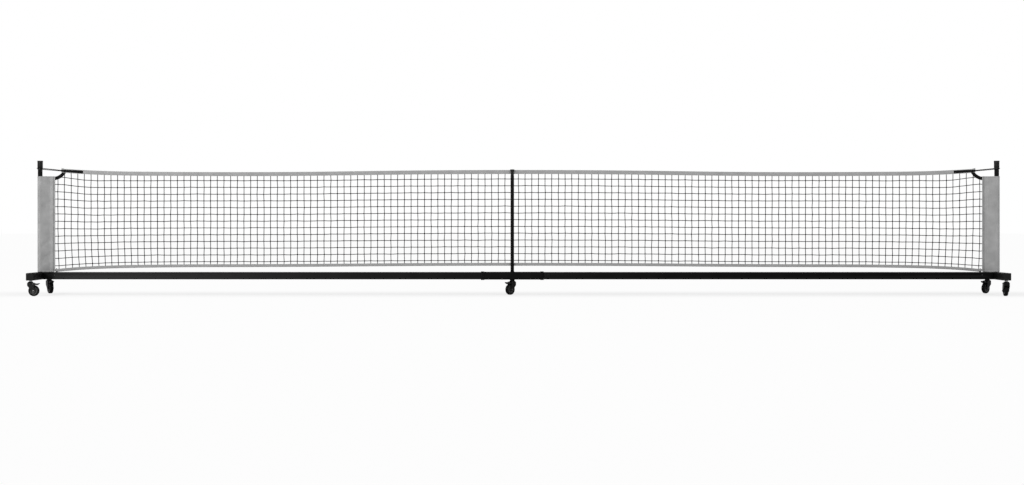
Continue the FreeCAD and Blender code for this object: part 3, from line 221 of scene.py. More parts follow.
def choose(kind, test):
    """In edit mode, select the edges or faces whose middle and direction pass the test."""
    bpy.ops.mesh.select_mode(type=kind)
    bpy.ops.mesh.select_all(action="DESELECT")
    mesh = bmesh.from_edit_mesh(bpy.context.object.data)
    for item in mesh.edges if kind == "EDGE" else mesh.faces:
        if kind == "EDGE":
            a, b = (vertex.co for vertex in item.verts)
            chosen = test((a + b) / 2, (b - a).normalized())
        else:
            chosen = test(item.calc_center_median(), item.normal)
        item.select_set(bool(chosen))
    mesh.select_flush_mode()
    bmesh.update_edit_mesh(bpy.context.object.data)


def parallel(axis, also=lambda place: True):
    """A test for edges that run along an axis and whose middle passes a test of its own."""
    return lambda place, way: abs(way[axis]) > 0.9 and also(place)


def box(name, low, high):
    """A box between two corners, in edit mode."""
    low, high = Vector(low), Vector(high)
    bpy.ops.mesh.primitive_cube_add(size=1, location=(low + high) / 2)
    made = bpy.context.object
    made.name = name
    made.scale = high - low
    bpy.ops.object.transform_apply(location=True, rotation=True, scale=True)
    bpy.ops.object.mode_set(mode="EDIT")
    return made


def block(name, low, high):
    """A box between two corners in millimetres, in edit mode."""
    return box(name, Vector(low) * MM, Vector(high) * MM)


def cut(point, normal):
    """Cut the whole mesh with a plane, keep what lies behind its normal and close the cut."""
    bpy.ops.mesh.select_all(action="SELECT")
    bpy.ops.mesh.bisect(plane_co=point, plane_no=normal, use_fill=True, clear_outer=True)


def slice_at(point, normal):
    """Add a ring of edges where a plane crosses the mesh."""
    bpy.ops.mesh.select_all(action="SELECT")
    bpy.ops.mesh.bisect(plane_co=point, plane_no=normal)


def round_edges(test, width, segments=4):
    """Round the edges that pass the test."""
    choose("EDGE", test)
    bpy.ops.mesh.bevel(offset=width, segments=segments, affect="EDGES")


def done(made):
    """Leave edit mode with doubles merged, normals outwards and smooth shading."""
    bpy.ops.mesh.select_all(action="SELECT")
    bpy.ops.mesh.remove_doubles(threshold=1e-6)
    face_outwards()
    only(made)
    smooth()
    return made


def modified(made, kind, **settings):
    """Add a modifier and apply it."""
    only(made)
    modifier = made.modifiers.new(kind, kind)
    for name, value in settings.items():
        setattr(modifier, name, value)
    bpy.ops.object.modifier_apply(modifier=modifier.name)
    return made


def soften(made, width, segments=3, angle=40):
    """Round every sharp edge a little."""
    modified(made, "BEVEL", width=width, segments=segments, limit_method="ANGLE",
             angle_limit=math.radians(angle))
    smooth()
    return made


def carve(made, cutter):
    """Take one shape out of another. The cutter is used up."""
    modified(made, "BOOLEAN", operation="DIFFERENCE", solver="EXACT", object=cutter)
    bpy.data.objects.remove(cutter)
    return made


def joined(name, *parts):
    """Several shapes as one piece."""
    bpy.ops.object.select_all(action="DESELECT")
    for part in parts:
        part.select_set(True)
    bpy.context.view_layer.objects.active = parts[0]
    bpy.ops.object.join()
    made = bpy.context.object
    made.name = name
    return made


def turned(name, profile, centre=(0, 0, 0), axis="Z", segments=64):
    """A turned shape, drawn out of a circle: rings of radius and height in millimetres along the axis."""
    radius, height = profile[0]
    bpy.ops.mesh.primitive_circle_add(vertices=segments, radius=radius * MM, location=(0, 0, height * MM))
    made = bpy.context.object
    made.name = name
    bpy.ops.object.transform_apply(location=True)
    open_up(made)
    for next_radius, next_height in profile[1:]:
        rise = (next_height - height) * MM
        bpy.ops.mesh.extrude_edges_move(TRANSFORM_OT_translate={"value": (0, 0, rise)})
        share = next_radius / radius
        bpy.ops.transform.resize(value=(share, share, 1), center_override=(0, 0, next_height * MM))
        radius, height = next_radius, next_height
    bpy.ops.mesh.select_all(action="SELECT")
    bpy.ops.mesh.remove_doubles(threshold=1e-7)
    bpy.ops.mesh.fill_holes(sides=0)
    face_outwards()
    turn = Matrix.Rotation(math.radians(90), 4, "X") if axis == "Y" else Matrix.Identity(4)
    made.data.transform(Matrix.Translation(Vector(centre)) @ turn)
    smooth()
    return made


def refined(name, node, bevel, segments=3):
    """A copy of a frame node with its edges rounded, which stands for the node."""
    made = scene_link(name, frame["nodes"][node].data.copy())
    open_up(made)
    bpy.ops.mesh.remove_doubles(threshold=2e-6)
    bpy.ops.mesh.dissolve_limited(angle_limit=math.radians(1))
    bpy.ops.object.mode_set(mode="OBJECT")
    return soften(made, bevel, segments)


def settle(made, body, material, replaces=()):
    """Give a finished piece its material, its body and the nodes that it stands for."""
    made.data.materials.clear()
    made.data.materials.append(material)
    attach(made, body)
    if replaces:
        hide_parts(*replaces)
    return made


# Lines that the cloth follows

def arcs_through(points):
    """Arcs that meet smoothly: level at the first point, then through each."""
    arcs = []
    slope = 0.0
    for (xa, za), (xb, zb) in zip(points, points[1:]):
        chord = math.atan2(zb - za, xb - xa)
        turn = 2 * (chord - slope)
        radius = math.hypot(xb - xa, zb - za) / (2 * math.sin(turn / 2))
        arcs.append((xb, xa - radius * math.sin(slope), za + radius * math.cos(slope), radius))
        slope += turn
    return arcs


def height_on(arcs, x):
    """Height of such a line at a distance to either side of the middle."""
    x = abs(x)
    for end, centre_x, centre_z, radius in arcs:
        if x <= end:
            break
    way = -1 if radius > 0 else 1
    return centre_z + way * math.sqrt(max(radius ** 2 - (x - centre_x) ** 2, 0.0))


def between(points, share):
    """A value between listed points, by the share of the way out."""
    for (a, va), (b, vb) in zip(points, points[1:]):
        if share <= b:
            t = (share - a) / (b - a)
            t = t * t * (3 - 2 * t)
            return (va + (vb - va) * t) * MM
    return points[-1][1] * MM


tape_arcs = arcs_through([(out * tape_end, tape_high.z + rise * MM) for out, rise in TAPE_SAG])
band_arcs = arcs_through([(out * BAND_END, band_peak - down * BAND_DROP) for out, down in BAND_FALL])


def tape_top(x):
    return height_on(tape_arcs, min(abs(x), tape_end))


def band_top(x):
    return height_on(band_arcs, min(abs(x), BAND_END))


def held(value):
    """A share, kept between none and all."""
    return min(1.0, max(0.0, value))


def distances(points):
    """How far along a line of points each of them lies."""
    total = [0.0]
    for a, b in zip(points, points[1:]):
        total.append(total[-1] + (Vector(b) - Vector(a)).length)
    return total


def along(x_from, x_to, step):
    """Evenly spaced places from one end to the other."""
    count = max(2, round(abs(x_to - x_from) / step))
    return [x_from + (x_to - x_from) * index / count for index in range(count + 1)]


# Materials

def new_material(name):
    """A material with its node tree and its shader."""
    made = bpy.data.materials.new(name)
    made.use_nodes = True
    return made, made.node_tree, made.node_tree.nodes["Principled BSDF"]


def feed(tree, socket, value):
    """Link a socket to another one, or give it a value."""
    if isinstance(value, bpy.types.NodeSocket):
        tree.links.new(value, socket)
    else:
        socket.default_value = value


def arithmetic(tree, operation, *values):
    """The result of a sum on numbers and sockets."""
    made = tree.nodes.new("ShaderNodeMath")
    made.operation = operation
    for socket, value in zip(made.inputs, values):
        feed(tree, socket, value)
    return made.outputs["Value"]


def remapped(tree, value, span, result, interpolation="LINEAR"):
    """A value carried over from one span to another, and held at its ends."""
    made = tree.nodes.new("ShaderNodeMapRange")
    made.interpolation_type = interpolation
    for name, number in zip(("Value", "From Min", "From Max", "To Min", "To Max"), (value, *span, *result)):
        feed(tree, made.inputs[name], number)
    return made.outputs["Result"]


def mixed(tree, share, first, second):
    """A colour between two, by the share of the second."""
    made = tree.nodes.new("ShaderNodeMix")
    made.data_type = "RGBA"
    for name, value in (("Factor", share), ("A", first), ("B", second)):
        feed(tree, made.inputs[name], value)
    return made.outputs["Result"]


def coordinate(tree, kind, axis):
    """One of the piece's own coordinates."""
    split = tree.nodes.new("ShaderNodeSeparateXYZ")
    tree.links.new(tree.nodes.new("ShaderNodeTexCoord").outputs[kind], split.inputs["Vector"])
    return split.outputs[axis]


def texture(tree, kind, scale, coordinates="Object", output="Fac", **inputs):
    """The value of a texture on the piece's own coordinates."""
    made = tree.nodes.new(f"ShaderNodeTex{kind}")
    for name, number in {"Scale": scale, **inputs}.items():
        made.inputs[name].default_value = number
    tree.links.new(tree.nodes.new("ShaderNodeTexCoord").outputs[coordinates], made.inputs["Vector"])
    return made.outputs[output]


def bands(tree, pitch, direction, distortion=0.0):
    """Bands this far apart on the piece's UV map, which is laid out in metres."""
    made = texture(tree, "Wave", 1 / (math.pi * pitch), "UV", Distortion=distortion)
    made.node.bands_direction = direction
    return made


def ramp(tree, value, *stops):
    """Turn a value into a grey, between two stops of value and grey."""
    made = tree.nodes.new("ShaderNodeValToRGB")
    for element, (position, grey) in zip(made.color_ramp.elements, stops):
        element.position = position
        element.color = (grey, grey, grey, 1)
    tree.links.new(value, made.inputs["Fac"])
    return made.outputs["Color"]


def dress(tree, shader, colour, roughness, gloss=0.5):
    """Give the shader its colour, its roughness and its gloss."""
    for name, value in (("Base Color", colour), ("Roughness", roughness), ("Specular IOR Level", gloss)):
        feed(tree, shader.inputs[name], value)


def bump(tree, shader, height, strength, distance=0.0002):
    """Small relief on the surface."""
    made = tree.nodes.new("ShaderNodeBump")
    for name, value in (("Strength", strength), ("Distance", distance), ("Height", height)):
        feed(tree, made.inputs[name], value)
    tree.links.new(made.outputs["Normal"], shader.inputs["Normal"])


# Painted light on the left beam, a paler layer that brightens it towards its left end: its least share, in
# the middle, and where it gives way to painted shade under the sleeve
PAINTED_LIGHT_LEAST = 0.11
SLEEVE_SHADE_EDGE = (-sleeve_inner - 0.02, -sleeve_inner + 0.01)


def coated_steel(name, colour, roughness, gloss, pale_layer=0.0):
    """Powder coat: a fine orange peel and a cloudy tone, with painted light that brightens it towards the
    left end and painted shade under the sleeve.
    """
    made, tree, shader = new_material(name)
    cloud = texture(tree, "Noise", 9, Detail=5)
    coat = ramp(tree, cloud, (0.3, colour * 0.8), (0.75, colour * 1.25))
    if pale_layer:
        # Painted light: a paler layer, strongest at the left end and faint in the middle
        x = coordinate(tree, "Object", "X")
        share = remapped(tree, x, (0, -post_x), (PAINTED_LIGHT_LEAST, 1))
        # Painted shade: the paler layer stops under the sleeve, so the beam is darker there
        outside_sleeve_shade = remapped(tree, x, SLEEVE_SHADE_EDGE, (0, 1))
        layer = ramp(tree, cloud, (0.3, pale_layer * 0.9), (0.75, pale_layer * 1.1))
        coat = mixed(tree, arithmetic(tree, "MULTIPLY", share, outside_sleeve_shade), coat, layer)
    dress(tree, shader, coat, ramp(tree, cloud, (0.25, roughness - 0.06), (0.8, roughness + 0.08)), gloss)
    bump(tree, shader, texture(tree, "Noise", 900, Detail=3), 0.25)
    return made


def moulded_plastic(name, colour, roughness, gloss):
    """Moulded plastic with a fine grain."""
    made, tree, shader = new_material(name)
    cloud = texture(tree, "Noise", 25)
    dress(tree, shader, ramp(tree, cloud, (0.3, colour * 0.85), (0.7, colour * 1.2)),
          ramp(tree, cloud, (0.3, roughness - 0.05), (0.7, roughness + 0.08)), gloss)
    bump(tree, shader, texture(tree, "Voronoi", 1600, output="Distance"), 0.2)
    return made


def zinc(name, dark, light):
    """Zinc plate with a faint cloudiness."""
    made, tree, shader = new_material(name)
    cloud = texture(tree, "Noise", 60, Detail=4)
    dress(tree, shader, ramp(tree, cloud, (0.3, dark), (0.7, light)),
          ramp(tree, cloud, (0.3, 0.3), (0.7, 0.45)))
    shader.inputs["Metallic"].default_value = 1
    return made


def woven_cloth(name, colour, pitch, shade, strength=0.5, seam=0.0):
    """Plain weave, cloudy and fibrous, with a seam at this distance from a sleeve's edge darkened by soil and
    painted shade.
    """
    made, tree, shader = new_material(name)
    cloud = texture(tree, "Noise", 14, "UV", Detail=6)
    tone = arithmetic(tree, "MULTIPLY_ADD", texture(tree, "Noise", 700, "UV"), 0.25, cloud)
    cloth = ramp(tree, tone, (0.35, colour * (1 - shade)), (0.9, colour * (1 + shade)))
    if seam:
        # Soil and painted shade along the seam's dip
        off = arithmetic(tree, "ABSOLUTE", arithmetic(tree, "SUBTRACT", coordinate(tree, "UV", "X"), seam))
        soil_and_shade = remapped(tree, off, SEAM_FADE, (SEAM_SOIL_AND_SHADE, 0), "SMOOTHSTEP")
        cloth = mixed(tree, soil_and_shade, cloth, (0.09, 0.09, 0.09, 1))
    dress(tree, shader, cloth, 0.85, 0.1)
    weave = arithmetic(tree, "MAXIMUM", bands(tree, pitch, "X"), bands(tree, pitch, "Y"))
    bump(tree, shader, weave, strength)
    return made


def rubber(name, colour):
    """Tyre rubber, dusty and rough."""
    made, tree, shader = new_material(name)
    pale_layer = texture(tree, "Noise", 45, Detail=6)
    dress(tree, shader, ramp(tree, pale_layer, (0.4, colour * 0.8), (0.75, colour * 1.7)),
          ramp(tree, pale_layer, (0.3, 0.55), (0.7, 0.75)), 0.06)
    bump(tree, shader, texture(tree, "Noise", 1200), 0.2)
    return made


def twisted(name, colour, pitch):
    """Laid fibres: slanting bands along the piece's own UV map."""
    made, tree, shader = new_material(name)
    lay = bands(tree, pitch, "DIAGONAL", 0.6)
    dress(tree, shader, ramp(tree, lay, (0.1, colour * 0.6), (0.8, colour * 1.3)), 0.8, 0.08)
    bump(tree, shader, lay, 0.6, 0.0004)
    return made


black_steel = coated_steel("black_powder_coat", 0.0034, 0.36, 0.045)
# Black powder coat with painted light towards the left end and painted shade under the sleeve
left_lit_steel = coated_steel("left_lit_powder_coat", 0.0034, 0.36, 0.045, 0.0205)
caster_steel = coated_steel("black_caster_steel", 0.004, 0.34, 0.08)
black_plastic = moulded_plastic("black_plastic", 0.006, 0.34, 0.18)
grey_plastic = moulded_plastic("dark_grey_plastic", 0.026, 0.36, 0.3)
plug_plastic = moulded_plastic("plug_plastic", 0.011, 0.42, 0.04)
tyre_rubber = rubber("tyre_rubber", 0.0032)
zinc_plate = zinc("zinc_plate", 0.36, 0.5)
dull_zinc = zinc("dull_zinc", 0.06, 0.1)
dark_zinc = zinc("blackened_zinc", 0.02, 0.05)
sleeve_cloth = woven_cloth("sleeve_cloth", 0.33, 0.9 * MM, 0.17, seam=HEM_STITCH * MM)
tape_cloth = woven_cloth("tape_cloth", 0.33, 0.8 * MM, 0.1)
sewing_thread = woven_cloth("sewing_thread", 0.22, 0.6 * MM, 0.1)
black_thread = woven_cloth("black_thread", 0.02, 0.6 * MM, 0.1)
webbing_cloth = woven_cloth("black_webbing", 0.004, 1.6 * MM, 0.3, 0.9)
net_twine = twisted("net_twine", 0.012, 2.5 * MM)
cord_braid = twisted("cord_braid", 0.0025, 3 * MM)


# Cloth swept along the net

def surface(name, rows, closed):
    """Faces between rows of points. Closed rows are rings, and the first and last of them are filled."""
    count = len(rows[0])
    faces = []
    for index in range(len(rows) - 1):
        for corner in range(count if closed else count - 1):
            a = index * count + corner
            b = index * count + (corner + 1) % count
            faces.append((a, b, b + count, a + count))
    if closed:
        faces.append(tuple(range(count))[::-1])
        faces.append(tuple(range((len(rows) - 1) * count, len(rows) * count)))
    mesh = bpy.data.meshes.new(name)
    mesh.from_pydata([tuple(point) for row in rows for point in row], [], faces)
    return scene_link(name, mesh)


def lay_cloth(made, count, place, angle):
    """Lay out a UV map by row and place in the row, then turn the faces outwards and smooth them."""
    mesh = made.data
    layer = mesh.uv_layers.new(name="cloth").data
    for polygon in mesh.polygons:
        spots = [divmod(mesh.loops[loop].vertex_index, count) for loop in polygon.loop_indices]
        # A face that closes a ring ends past its last point
        closes = len(spots) == 4 and {0, count - 1} <= {corner for row, corner in spots}
        for loop, (row, corner) in zip(polygon.loop_indices, spots):
            layer[loop].uv = place(row, count if closes and corner == 0 else corner)
    open_up(made)
    face_outwards()
    smooth(angle)
    return made


def swept(name, stations, section):
    """A closed strip: the section's (y, z) ring carried along stations of (x, z, squeeze, shift)."""
    rows = [[(x, net_y + y * wide, z + drop * tall) for y, drop in section] for x, z, tall, wide in stations]
    around = distances(section + section[:1])
    made = surface(name, rows, closed=True)
    return lay_cloth(made, len(section), lambda row, corner: (rows[row][0][0], around[corner]), 40)


def lofted(name, rows, closed=False):
    """A surface through rows of points, with a UV map laid out in metres."""
    around = [distances(row + row[:1]) for row in rows]
    length = distances([row[0] for row in rows])
    made = surface(name, rows, closed)
    return lay_cloth(made, len(rows[0]), lambda row, corner: (around[row][corner], length[row]), 50)


def folded_section(height):
    """Cloth folded over an edge: two plies that meet in a round fold and leave a slot between them."""
    half, inside = BAND_HALF, BAND_HALF - PLY
    bend = [math.pi * step / 8 for step in range(9)]
    outer = [(half * math.cos(angle), -half + half * math.sin(angle)) for angle in bend]
    inner = [(inside * math.cos(angle), -half + inside * math.sin(angle)) for angle in bend]
    puff = 0.25 * MM
    stitch = -height + SEAM_LINE
    front = [(inside, -height), (half - puff, -height), (half, -height + puff), (half, stitch - 1.6 * MM),
             (half - puff, stitch), (half, stitch + 1.6 * MM)]
    rear = [(-y, z) for y, z in front[::-1]]
    return front + outer + rear + inner[::-1]


def make_tapes():
    """The headband, the bottom band and its loops, with faint puckers between the stitches."""
    random.seed(4)
    phase = [random.uniform(0, 6) for _ in range(2)]

    def pucker(x):
        return 1 + 0.02 * math.sin(x * 95 + phase[0]) + 0.025 * math.sin(x * 41 + phase[1])

    stations = []
    for x in along(-tape_end, tape_end, BAND_STEP):
        peak = TAPE_PEAK if abs(x) > tape_end - 1 * MM else 0.0
        stations.append((x, tape_top(x) + peak, 1 + peak / TAPE_HEIGHT, pucker(x)))
    tape = swept("headband", stations, folded_section(TAPE_HEIGHT))
    settle(tape, "frame", tape_cloth, ("top_tape",))
    stations = [(x, band_top(x), 1, pucker(x)) for x in along(-BAND_END, BAND_END, BAND_STEP)]
    flipped = [(y, -BAND_HEIGHT - drop) for y, drop in folded_section(BAND_HEIGHT)]
    band = swept("bottom_band", stations, flipped)
    settle(band, "frame", tape_cloth)
    ends = [make(side) for side in (-1, 1) for make in (band_loop, band_tab)]
    loops = settle(joined("band_loops", *ends), "frame", tape_cloth, ("bottom_tape",))
    return tape, band, loops


def upright_cloth(name, side, pairs):
    """Cloth on edge at an end of the bottom band, from pairs of points on its two faces seen from above."""
    low, high = tube_top + LOOP_LIFT, band_top(BAND_END) - 0.2 * MM
    rows = []
    for a, b in pairs:
        corners = ((a, low), (b, low), (b, high), (a, high))
        rows.append([Vector((x * side, net_y + y, z)) for (x, y), z in corners])
    return lofted(name, rows, closed=True)


def band_loop(side):
    """The loop at an end of the bottom band, which runs round its peg."""
    pairs = [((LOOP_START, BAND_HALF - PLY), (LOOP_START, BAND_HALF))]
    for step in range(17):
        angle = math.radians(80 - 160 * step / 16)
        across, deep = math.cos(angle), math.sin(angle)
        pairs.append([(peg_x + across * radius, deep * radius) for radius in (LOOP_BORE, LOOP_BORE + PLY)])
    pairs.append(((LOOP_START, PLY - BAND_HALF), (LOOP_START, -BAND_HALF)))
    return upright_cloth("band_loop", side, pairs)


def band_tab(side):
    """The end of the bottom band past its peg, which is sewn in between the sleeve's plies."""
    places = along(peg_x + 3.9 * MM, sleeve_inner + SEAM_DEPTH, 4 * MM)
    return upright_cloth("band_tab", side, [((x, -PLY), (x, PLY)) for x in places])


def make_webbing():
    """Black webbing folded over both ends of the headband."""
    inner = webbing_end - PLY * 2 - WEBBING_LENGTH
    middle_inner, middle_outer = (tape_top(x) - TAPE_HEIGHT / 2 for x in (inner, tape_end))
    half = tape_thick / 2 + PLY
    tall = WEBBING_TALL / 2
    edge = 0.5 * MM
    section = [(half, -tall + edge), (half, tall - edge), (half - edge, tall), (-half + edge, tall),
               (-half, tall - edge), (-half, -tall + edge), (-half + edge, -tall), (half - edge, -tall)]
    pieces = []
    for side in (-1, 1):
        stations = []
        for x in along(inner, webbing_end, 5 * MM):
            share = (x - inner) / (webbing_end - inner)
            middle = middle_inner + (middle_outer - middle_inner) * share
            stations.append((x * side, middle, 1 + (WEBBING_SHORT / WEBBING_TALL - 1) * share, 1))
        pieces.append(swept("webbing", stations, section))
    made = joined("tape_webbing_strips", *pieces)
    return settle(made, "frame", webbing_cloth, ("tape_webbing",))


def sewn(name, length, radius, spots, thread):
    """Stitches of this size at each place, as one piece."""
    made = repeated(name, stitch_shape(length, radius), spots)
    lay_uv(made)
    return settle(made, "frame", thread)


def make_band_seams():
    """Stitching along the headband and the bottom band, on both sides."""
    spots = []
    for way in (-1, 1):
        y = net_y + (BAND_HALF + 0.1 * MM) * way
        spots += stitch_places([Vector((x, y, tape_top(x) - TAPE_HEIGHT + SEAM_LINE))
                                for x in along(-tape_end, tape_end, 20 * MM)], 7 * MM)
        spots += stitch_places([Vector((x, y, band_top(x) - SEAM_LINE))
                                for x in along(-BAND_END, BAND_END, 20 * MM)], 7 * MM)
    sewn("band_stitching", 4.6 * MM, 0.4 * MM, spots, sewing_thread)


def make_webbing_seams():
    """The stitched boxes that hold the webbing, each with a cross at its inner end."""
    # Place and half height of the box's inner and outer end, and the share of its length that has the cross
    ends = ((tape_end - WEBBING_LENGTH + 7 * MM, 8 * MM), (tape_end - 6 * MM, 5.4 * MM))
    cross = 0.22
    spots = []
    for side in (-1, 1):
        for way in (-1, 1):
            y = net_y + (tape_thick / 2 + PLY) * way
            corners = []
            for x, tall in ends:
                middle = tape_top(x) - TAPE_HEIGHT / 2
                corners += [Vector((x * side, y, middle + tall)), Vector((x * side, y, middle - tall))]
            a, b, c, d = corners
            near = a.lerp(c, cross)
            below = b.lerp(d, cross)
            for line in ((a, c, d, b, a), (near, below), (a, below), (b, near)):
                spots += stitch_places(line, 4.5 * MM)
    sewn("webbing_stitching", 3.2 * MM, 0.4 * MM, spots, black_thread)


def binding_arc():
    """Centre, radius and end angles of the corner binding on the left, seen from the front."""
    start = Vector((-sleeve_inner, 0, sleeve_high.z - BINDING_INSET))
    finish = Vector((-tape_end + BINDING_LAP, 0, tape_high.z - BINDING_DROP))
    slope = math.radians(BINDING_SLOPE)
    way = finish - start
    turn = 2 * (math.atan2(way.z, way.x) - slope)
    radius = way.length / (2 * math.sin(turn / 2))
    centre = start + Vector((-math.sin(slope), 0, math.cos(slope))) * radius
    first = slope - math.pi / 2
    return centre, radius, first, first + turn


def make_bindings():
    """The curved black binding between each sleeve and the headband, flat with full edges."""
    centre, radius, first, last = binding_arc()
    first -= BINDING_START / radius
    last += BINDING_TURN
    steps, corners = 26, 16
    for label, side in (("right", 1), ("left", -1)):
        rows = []
        for step in range(steps + 1):
            angle = first + (last - first) * step / steps
            puff = 1 + 0.06 * math.sin(step * 1.9)
            row = []
            for corner in range(corners):
                wide, deep = (wave(2 * math.pi * corner / corners) for wave in (math.cos, math.sin))
                across = math.copysign(abs(wide) ** 0.35, wide) * BINDING_WIDTH / 2
                out = math.copysign(abs(deep) ** 0.7, deep) * tape_thick / 2 * puff
                place = centre + Vector((math.cos(angle), 0, math.sin(angle))) * (radius + across)
                row.append(Vector((-place.x * side, net_y + out, place.z)))
            rows.append(row)
        piece = lofted(f"corner_binding_{label}", rows, closed=True)
        settle(piece, "frame", webbing_cloth, (f"neck_strap_{label}",))


# The net's mesh

def strand_curve(name, strands):
    """Many thin strands as one mesh: flat ovals along lines of points in the net's plane."""
    curve = bpy.data.curves.new(name, "CURVE")
    curve.dimensions = "3D"
    curve.bevel_depth = TWINE_WIDE / 2
    curve.bevel_resolution = 1
    curve.use_fill_caps = True
    for points in strands:
        spline = curve.splines.new("POLY")
        spline.points.add(len(points) - 1)
        for point, (x, z) in zip(spline.points, points):
            point.co = (x, 0, z, 1)
    only(scene_link(name, curve))
    bpy.ops.object.convert(target="MESH")
    made = bpy.context.object
    flat = Matrix.Diagonal((1, TWINE_THICK / TWINE_WIDE, 1, 1))
    made.data.transform(Matrix.Translation((0, net_y, 0)) @ flat)
    return made


def line_height(index, x):
    """Height of a horizontal line of the mesh, counted from the top."""
    share = min(abs(x) / sleeve_inner, 1)
    top = tape_top(x) - between(TOP_GAPS, share)
    low = band_top(x) + between(LOW_GAPS, share)
    return top + (low - top) * index / (MESH_LINES - 1)


def column_place(index):
    """Place along X of an upright strand, counted from the one behind the centre post."""
    if index == 0:
        return coupler_x
    side = 0 if index < 0 else 1
    return MESH_START + MESH_PITCH[side] * index + MESH_EASE[side] * index ** 2


def lean(x, z):
    """How far the lower half of the net is pulled towards the middle near its ends."""
    share = abs(x) / sleeve_inner
    reach = held(1 - abs(share - MESH_PULL_AT) / MESH_PULL_FADE)
    depth = held((MESH_PULL_TOP - z) / (MESH_PULL_TOP - MESH_PULL_FULL))
    return -math.copysign(MESH_PULL * reach * depth ** 1.5, x)


def make_mesh():
    """The net's twine: upright strands, lines from sleeve to sleeve and thicker crossings."""
    random.seed(11)
    centre, radius, *_ = binding_arc()
    columns = [column_place(index) for index in range(-MESH_SIDE, MESH_SIDE)]
    columns = [x for x in columns if abs(x) < sleeve_inner - MESH_CLEAR]
    stray = {(x, index): [random.gauss(0, spread) for spread in MESH_STRAY]
             for x in columns for index in range(MESH_LINES)}

    def crossing(x, index):
        across, up = stray[(x, index)]
        z = line_height(index, x)
        return x + lean(x, z) + across, z + up

    def strand_top(x):
        """Height where a strand ends under the corner binding, or in the headband."""
        off = abs(abs(x) + centre.x)
        edge = tape_top(x) - TAPE_HEIGHT + SEAM_DEPTH / 2
        if abs(x) < tape_end - BINDING_LAP or off > radius:
            return edge
        return min(edge, centre.z - math.sqrt(radius ** 2 - off ** 2))

    def free_crossing(x, index):
        """Whether two strands cross clear of what covers the strand's top."""
        return crossing(x, index)[1] < strand_top(x) - 4 * MM

    strands = []
    knots = []
    for x in columns:
        places = [crossing(x, index) for index in range(MESH_LINES) if free_crossing(x, index)]
        knots += places
        low = band_top(x) - SEAM_DEPTH / 2
        strands.append([(x, strand_top(x)), *places, (x + lean(x, low), low)])
    for index in range(MESH_LINES):
        points = [crossing(x, index) for x in columns if free_crossing(x, index)]
        if points[-1][0] > columns[-2]:
            edge = sleeve_inner + SEAM_DEPTH
            points = [(-edge, line_height(index, edge)), *points, (edge, line_height(index, edge))]
        line = []
        for (xa, za), (xb, zb) in zip(points, points[1:]):
            line += [(xa, za), ((xa + xb) / 2, (za + zb) / 2 - MESH_SAG)]
        strands.append(line + [points[-1]])
    twine = strand_curve("net_twine_strands", strands)
    turns = [random.uniform(-KNOT_TURN, KNOT_TURN) for _ in knots]
    spots = [Matrix.Translation((x, net_y, z)) @ Matrix.Rotation(turn, 4, "Y")
             for (x, z), turn in zip(knots, turns)]
    made = joined("net_mesh_twine", twine, repeated("net_crossings", knot_shape(), spots))
    lay_uv(made)
    only(made)
    smooth(80)
    settle(made, "frame", net_twine, ("net_mesh",))


def knot_shape():
    """A crossing of the knotless net, as a small rounded lozenge."""
    bpy.ops.mesh.primitive_uv_sphere_add(segments=8, ring_count=4, radius=KNOT_WIDE / 2)
    made = bpy.context.object
    turn = Matrix.Rotation(math.radians(90), 4, "X")
    made.data.transform(Matrix.Diagonal((1, KNOT_THICK / KNOT_WIDE, KNOT_TALL, 1)) @ turn)
    return made


def repeated(name, shape, places):
    """One mesh that holds a copy of a shape at each place. The shape is used up."""
    points = np.array([vertex.co for vertex in shape.data.vertices])
    faces = [tuple(polygon.vertices) for polygon in shape.data.polygons]
    count = len(points)
    vertices = []
    polygons = []
    for index, place in enumerate(places):
        matrix = np.array(place)
        vertices.append(points @ matrix[:3, :3].T + matrix[:3, 3])
        polygons += [tuple(corner + index * count for corner in face) for face in faces]
    mesh = bpy.data.meshes.new(name)
    mesh.from_pydata(np.concatenate(vertices).tolist(), [], polygons)
    bpy.data.objects.remove(shape)
    return scene_link(name, mesh)


def lay_uv(made):
    """A UV map in metres from a piece's front view."""
    mesh = made.data
    while mesh.uv_layers:
        mesh.uv_layers.remove(mesh.uv_layers[0])
    layer = mesh.uv_layers.new(name="cloth")
    places = np.zeros(len(mesh.vertices) * 3)
    mesh.vertices.foreach_get("co", places)
    corners = np.zeros(len(mesh.loops), dtype=int)
    mesh.loops.foreach_get("vertex_index", corners)
    flat = places.reshape(-1, 3)[corners][:, [0, 2]]
    layer.data.foreach_set("uv", flat.ravel())


# Post sleeves

def sleeve_outline(edge, trim):
    """Points round a sleeve seen from above, about its post: front hem, pocket, rear hem."""
    outer = sleeve_high.x - post_x - trim
    half = tape_thick / 2
    # The cloth lies flat as far as the bend. From there and from the rear edge it runs straight to the post
    bend = Vector((edge - 36 * MM, net_y - half))
    rear = Vector((edge, net_y + half))

    def touch(point, way):
        return math.atan2(point.y, point.x) + way * math.acos(outer / point.length)

    rear_angle = touch(rear, 1)
    front_angle = touch(bend, -1) + 2 * math.pi
    points = [Vector((edge - across * MM, net_y - half - out * MM)) for across, out in HEM]
    start = Vector((math.cos(front_angle), math.sin(front_angle))) * outer
    points += [bend + (start - bend) * step / 12 for step in range(12)]
    turns = 26
    for step in range(turns + 1):
        angle = front_angle + (rear_angle - front_angle) * step / turns
        points.append(Vector((math.cos(angle), math.sin(angle))) * outer)
    end = points[-1]
    points += [end + (rear - end) * step / 16 for step in range(1, 17)]
    return points


def crease_depth(label, share, z):
    """How far the creases push the cloth in or out."""
    total = 0.0
    for middle, level, slope, length, width, depth in CREASES[label]:
        across = (share - middle) * CREASE_SPAN
        up = z - level
        turn = math.radians(slope)
        reach = across * math.cos(turn) + up * math.sin(turn)
        off = up * math.cos(turn) - across * math.sin(turn)
        total += depth * MM * math.exp(-(off / (width * MM)) ** 2 - (reach / length) ** 4)
    return total


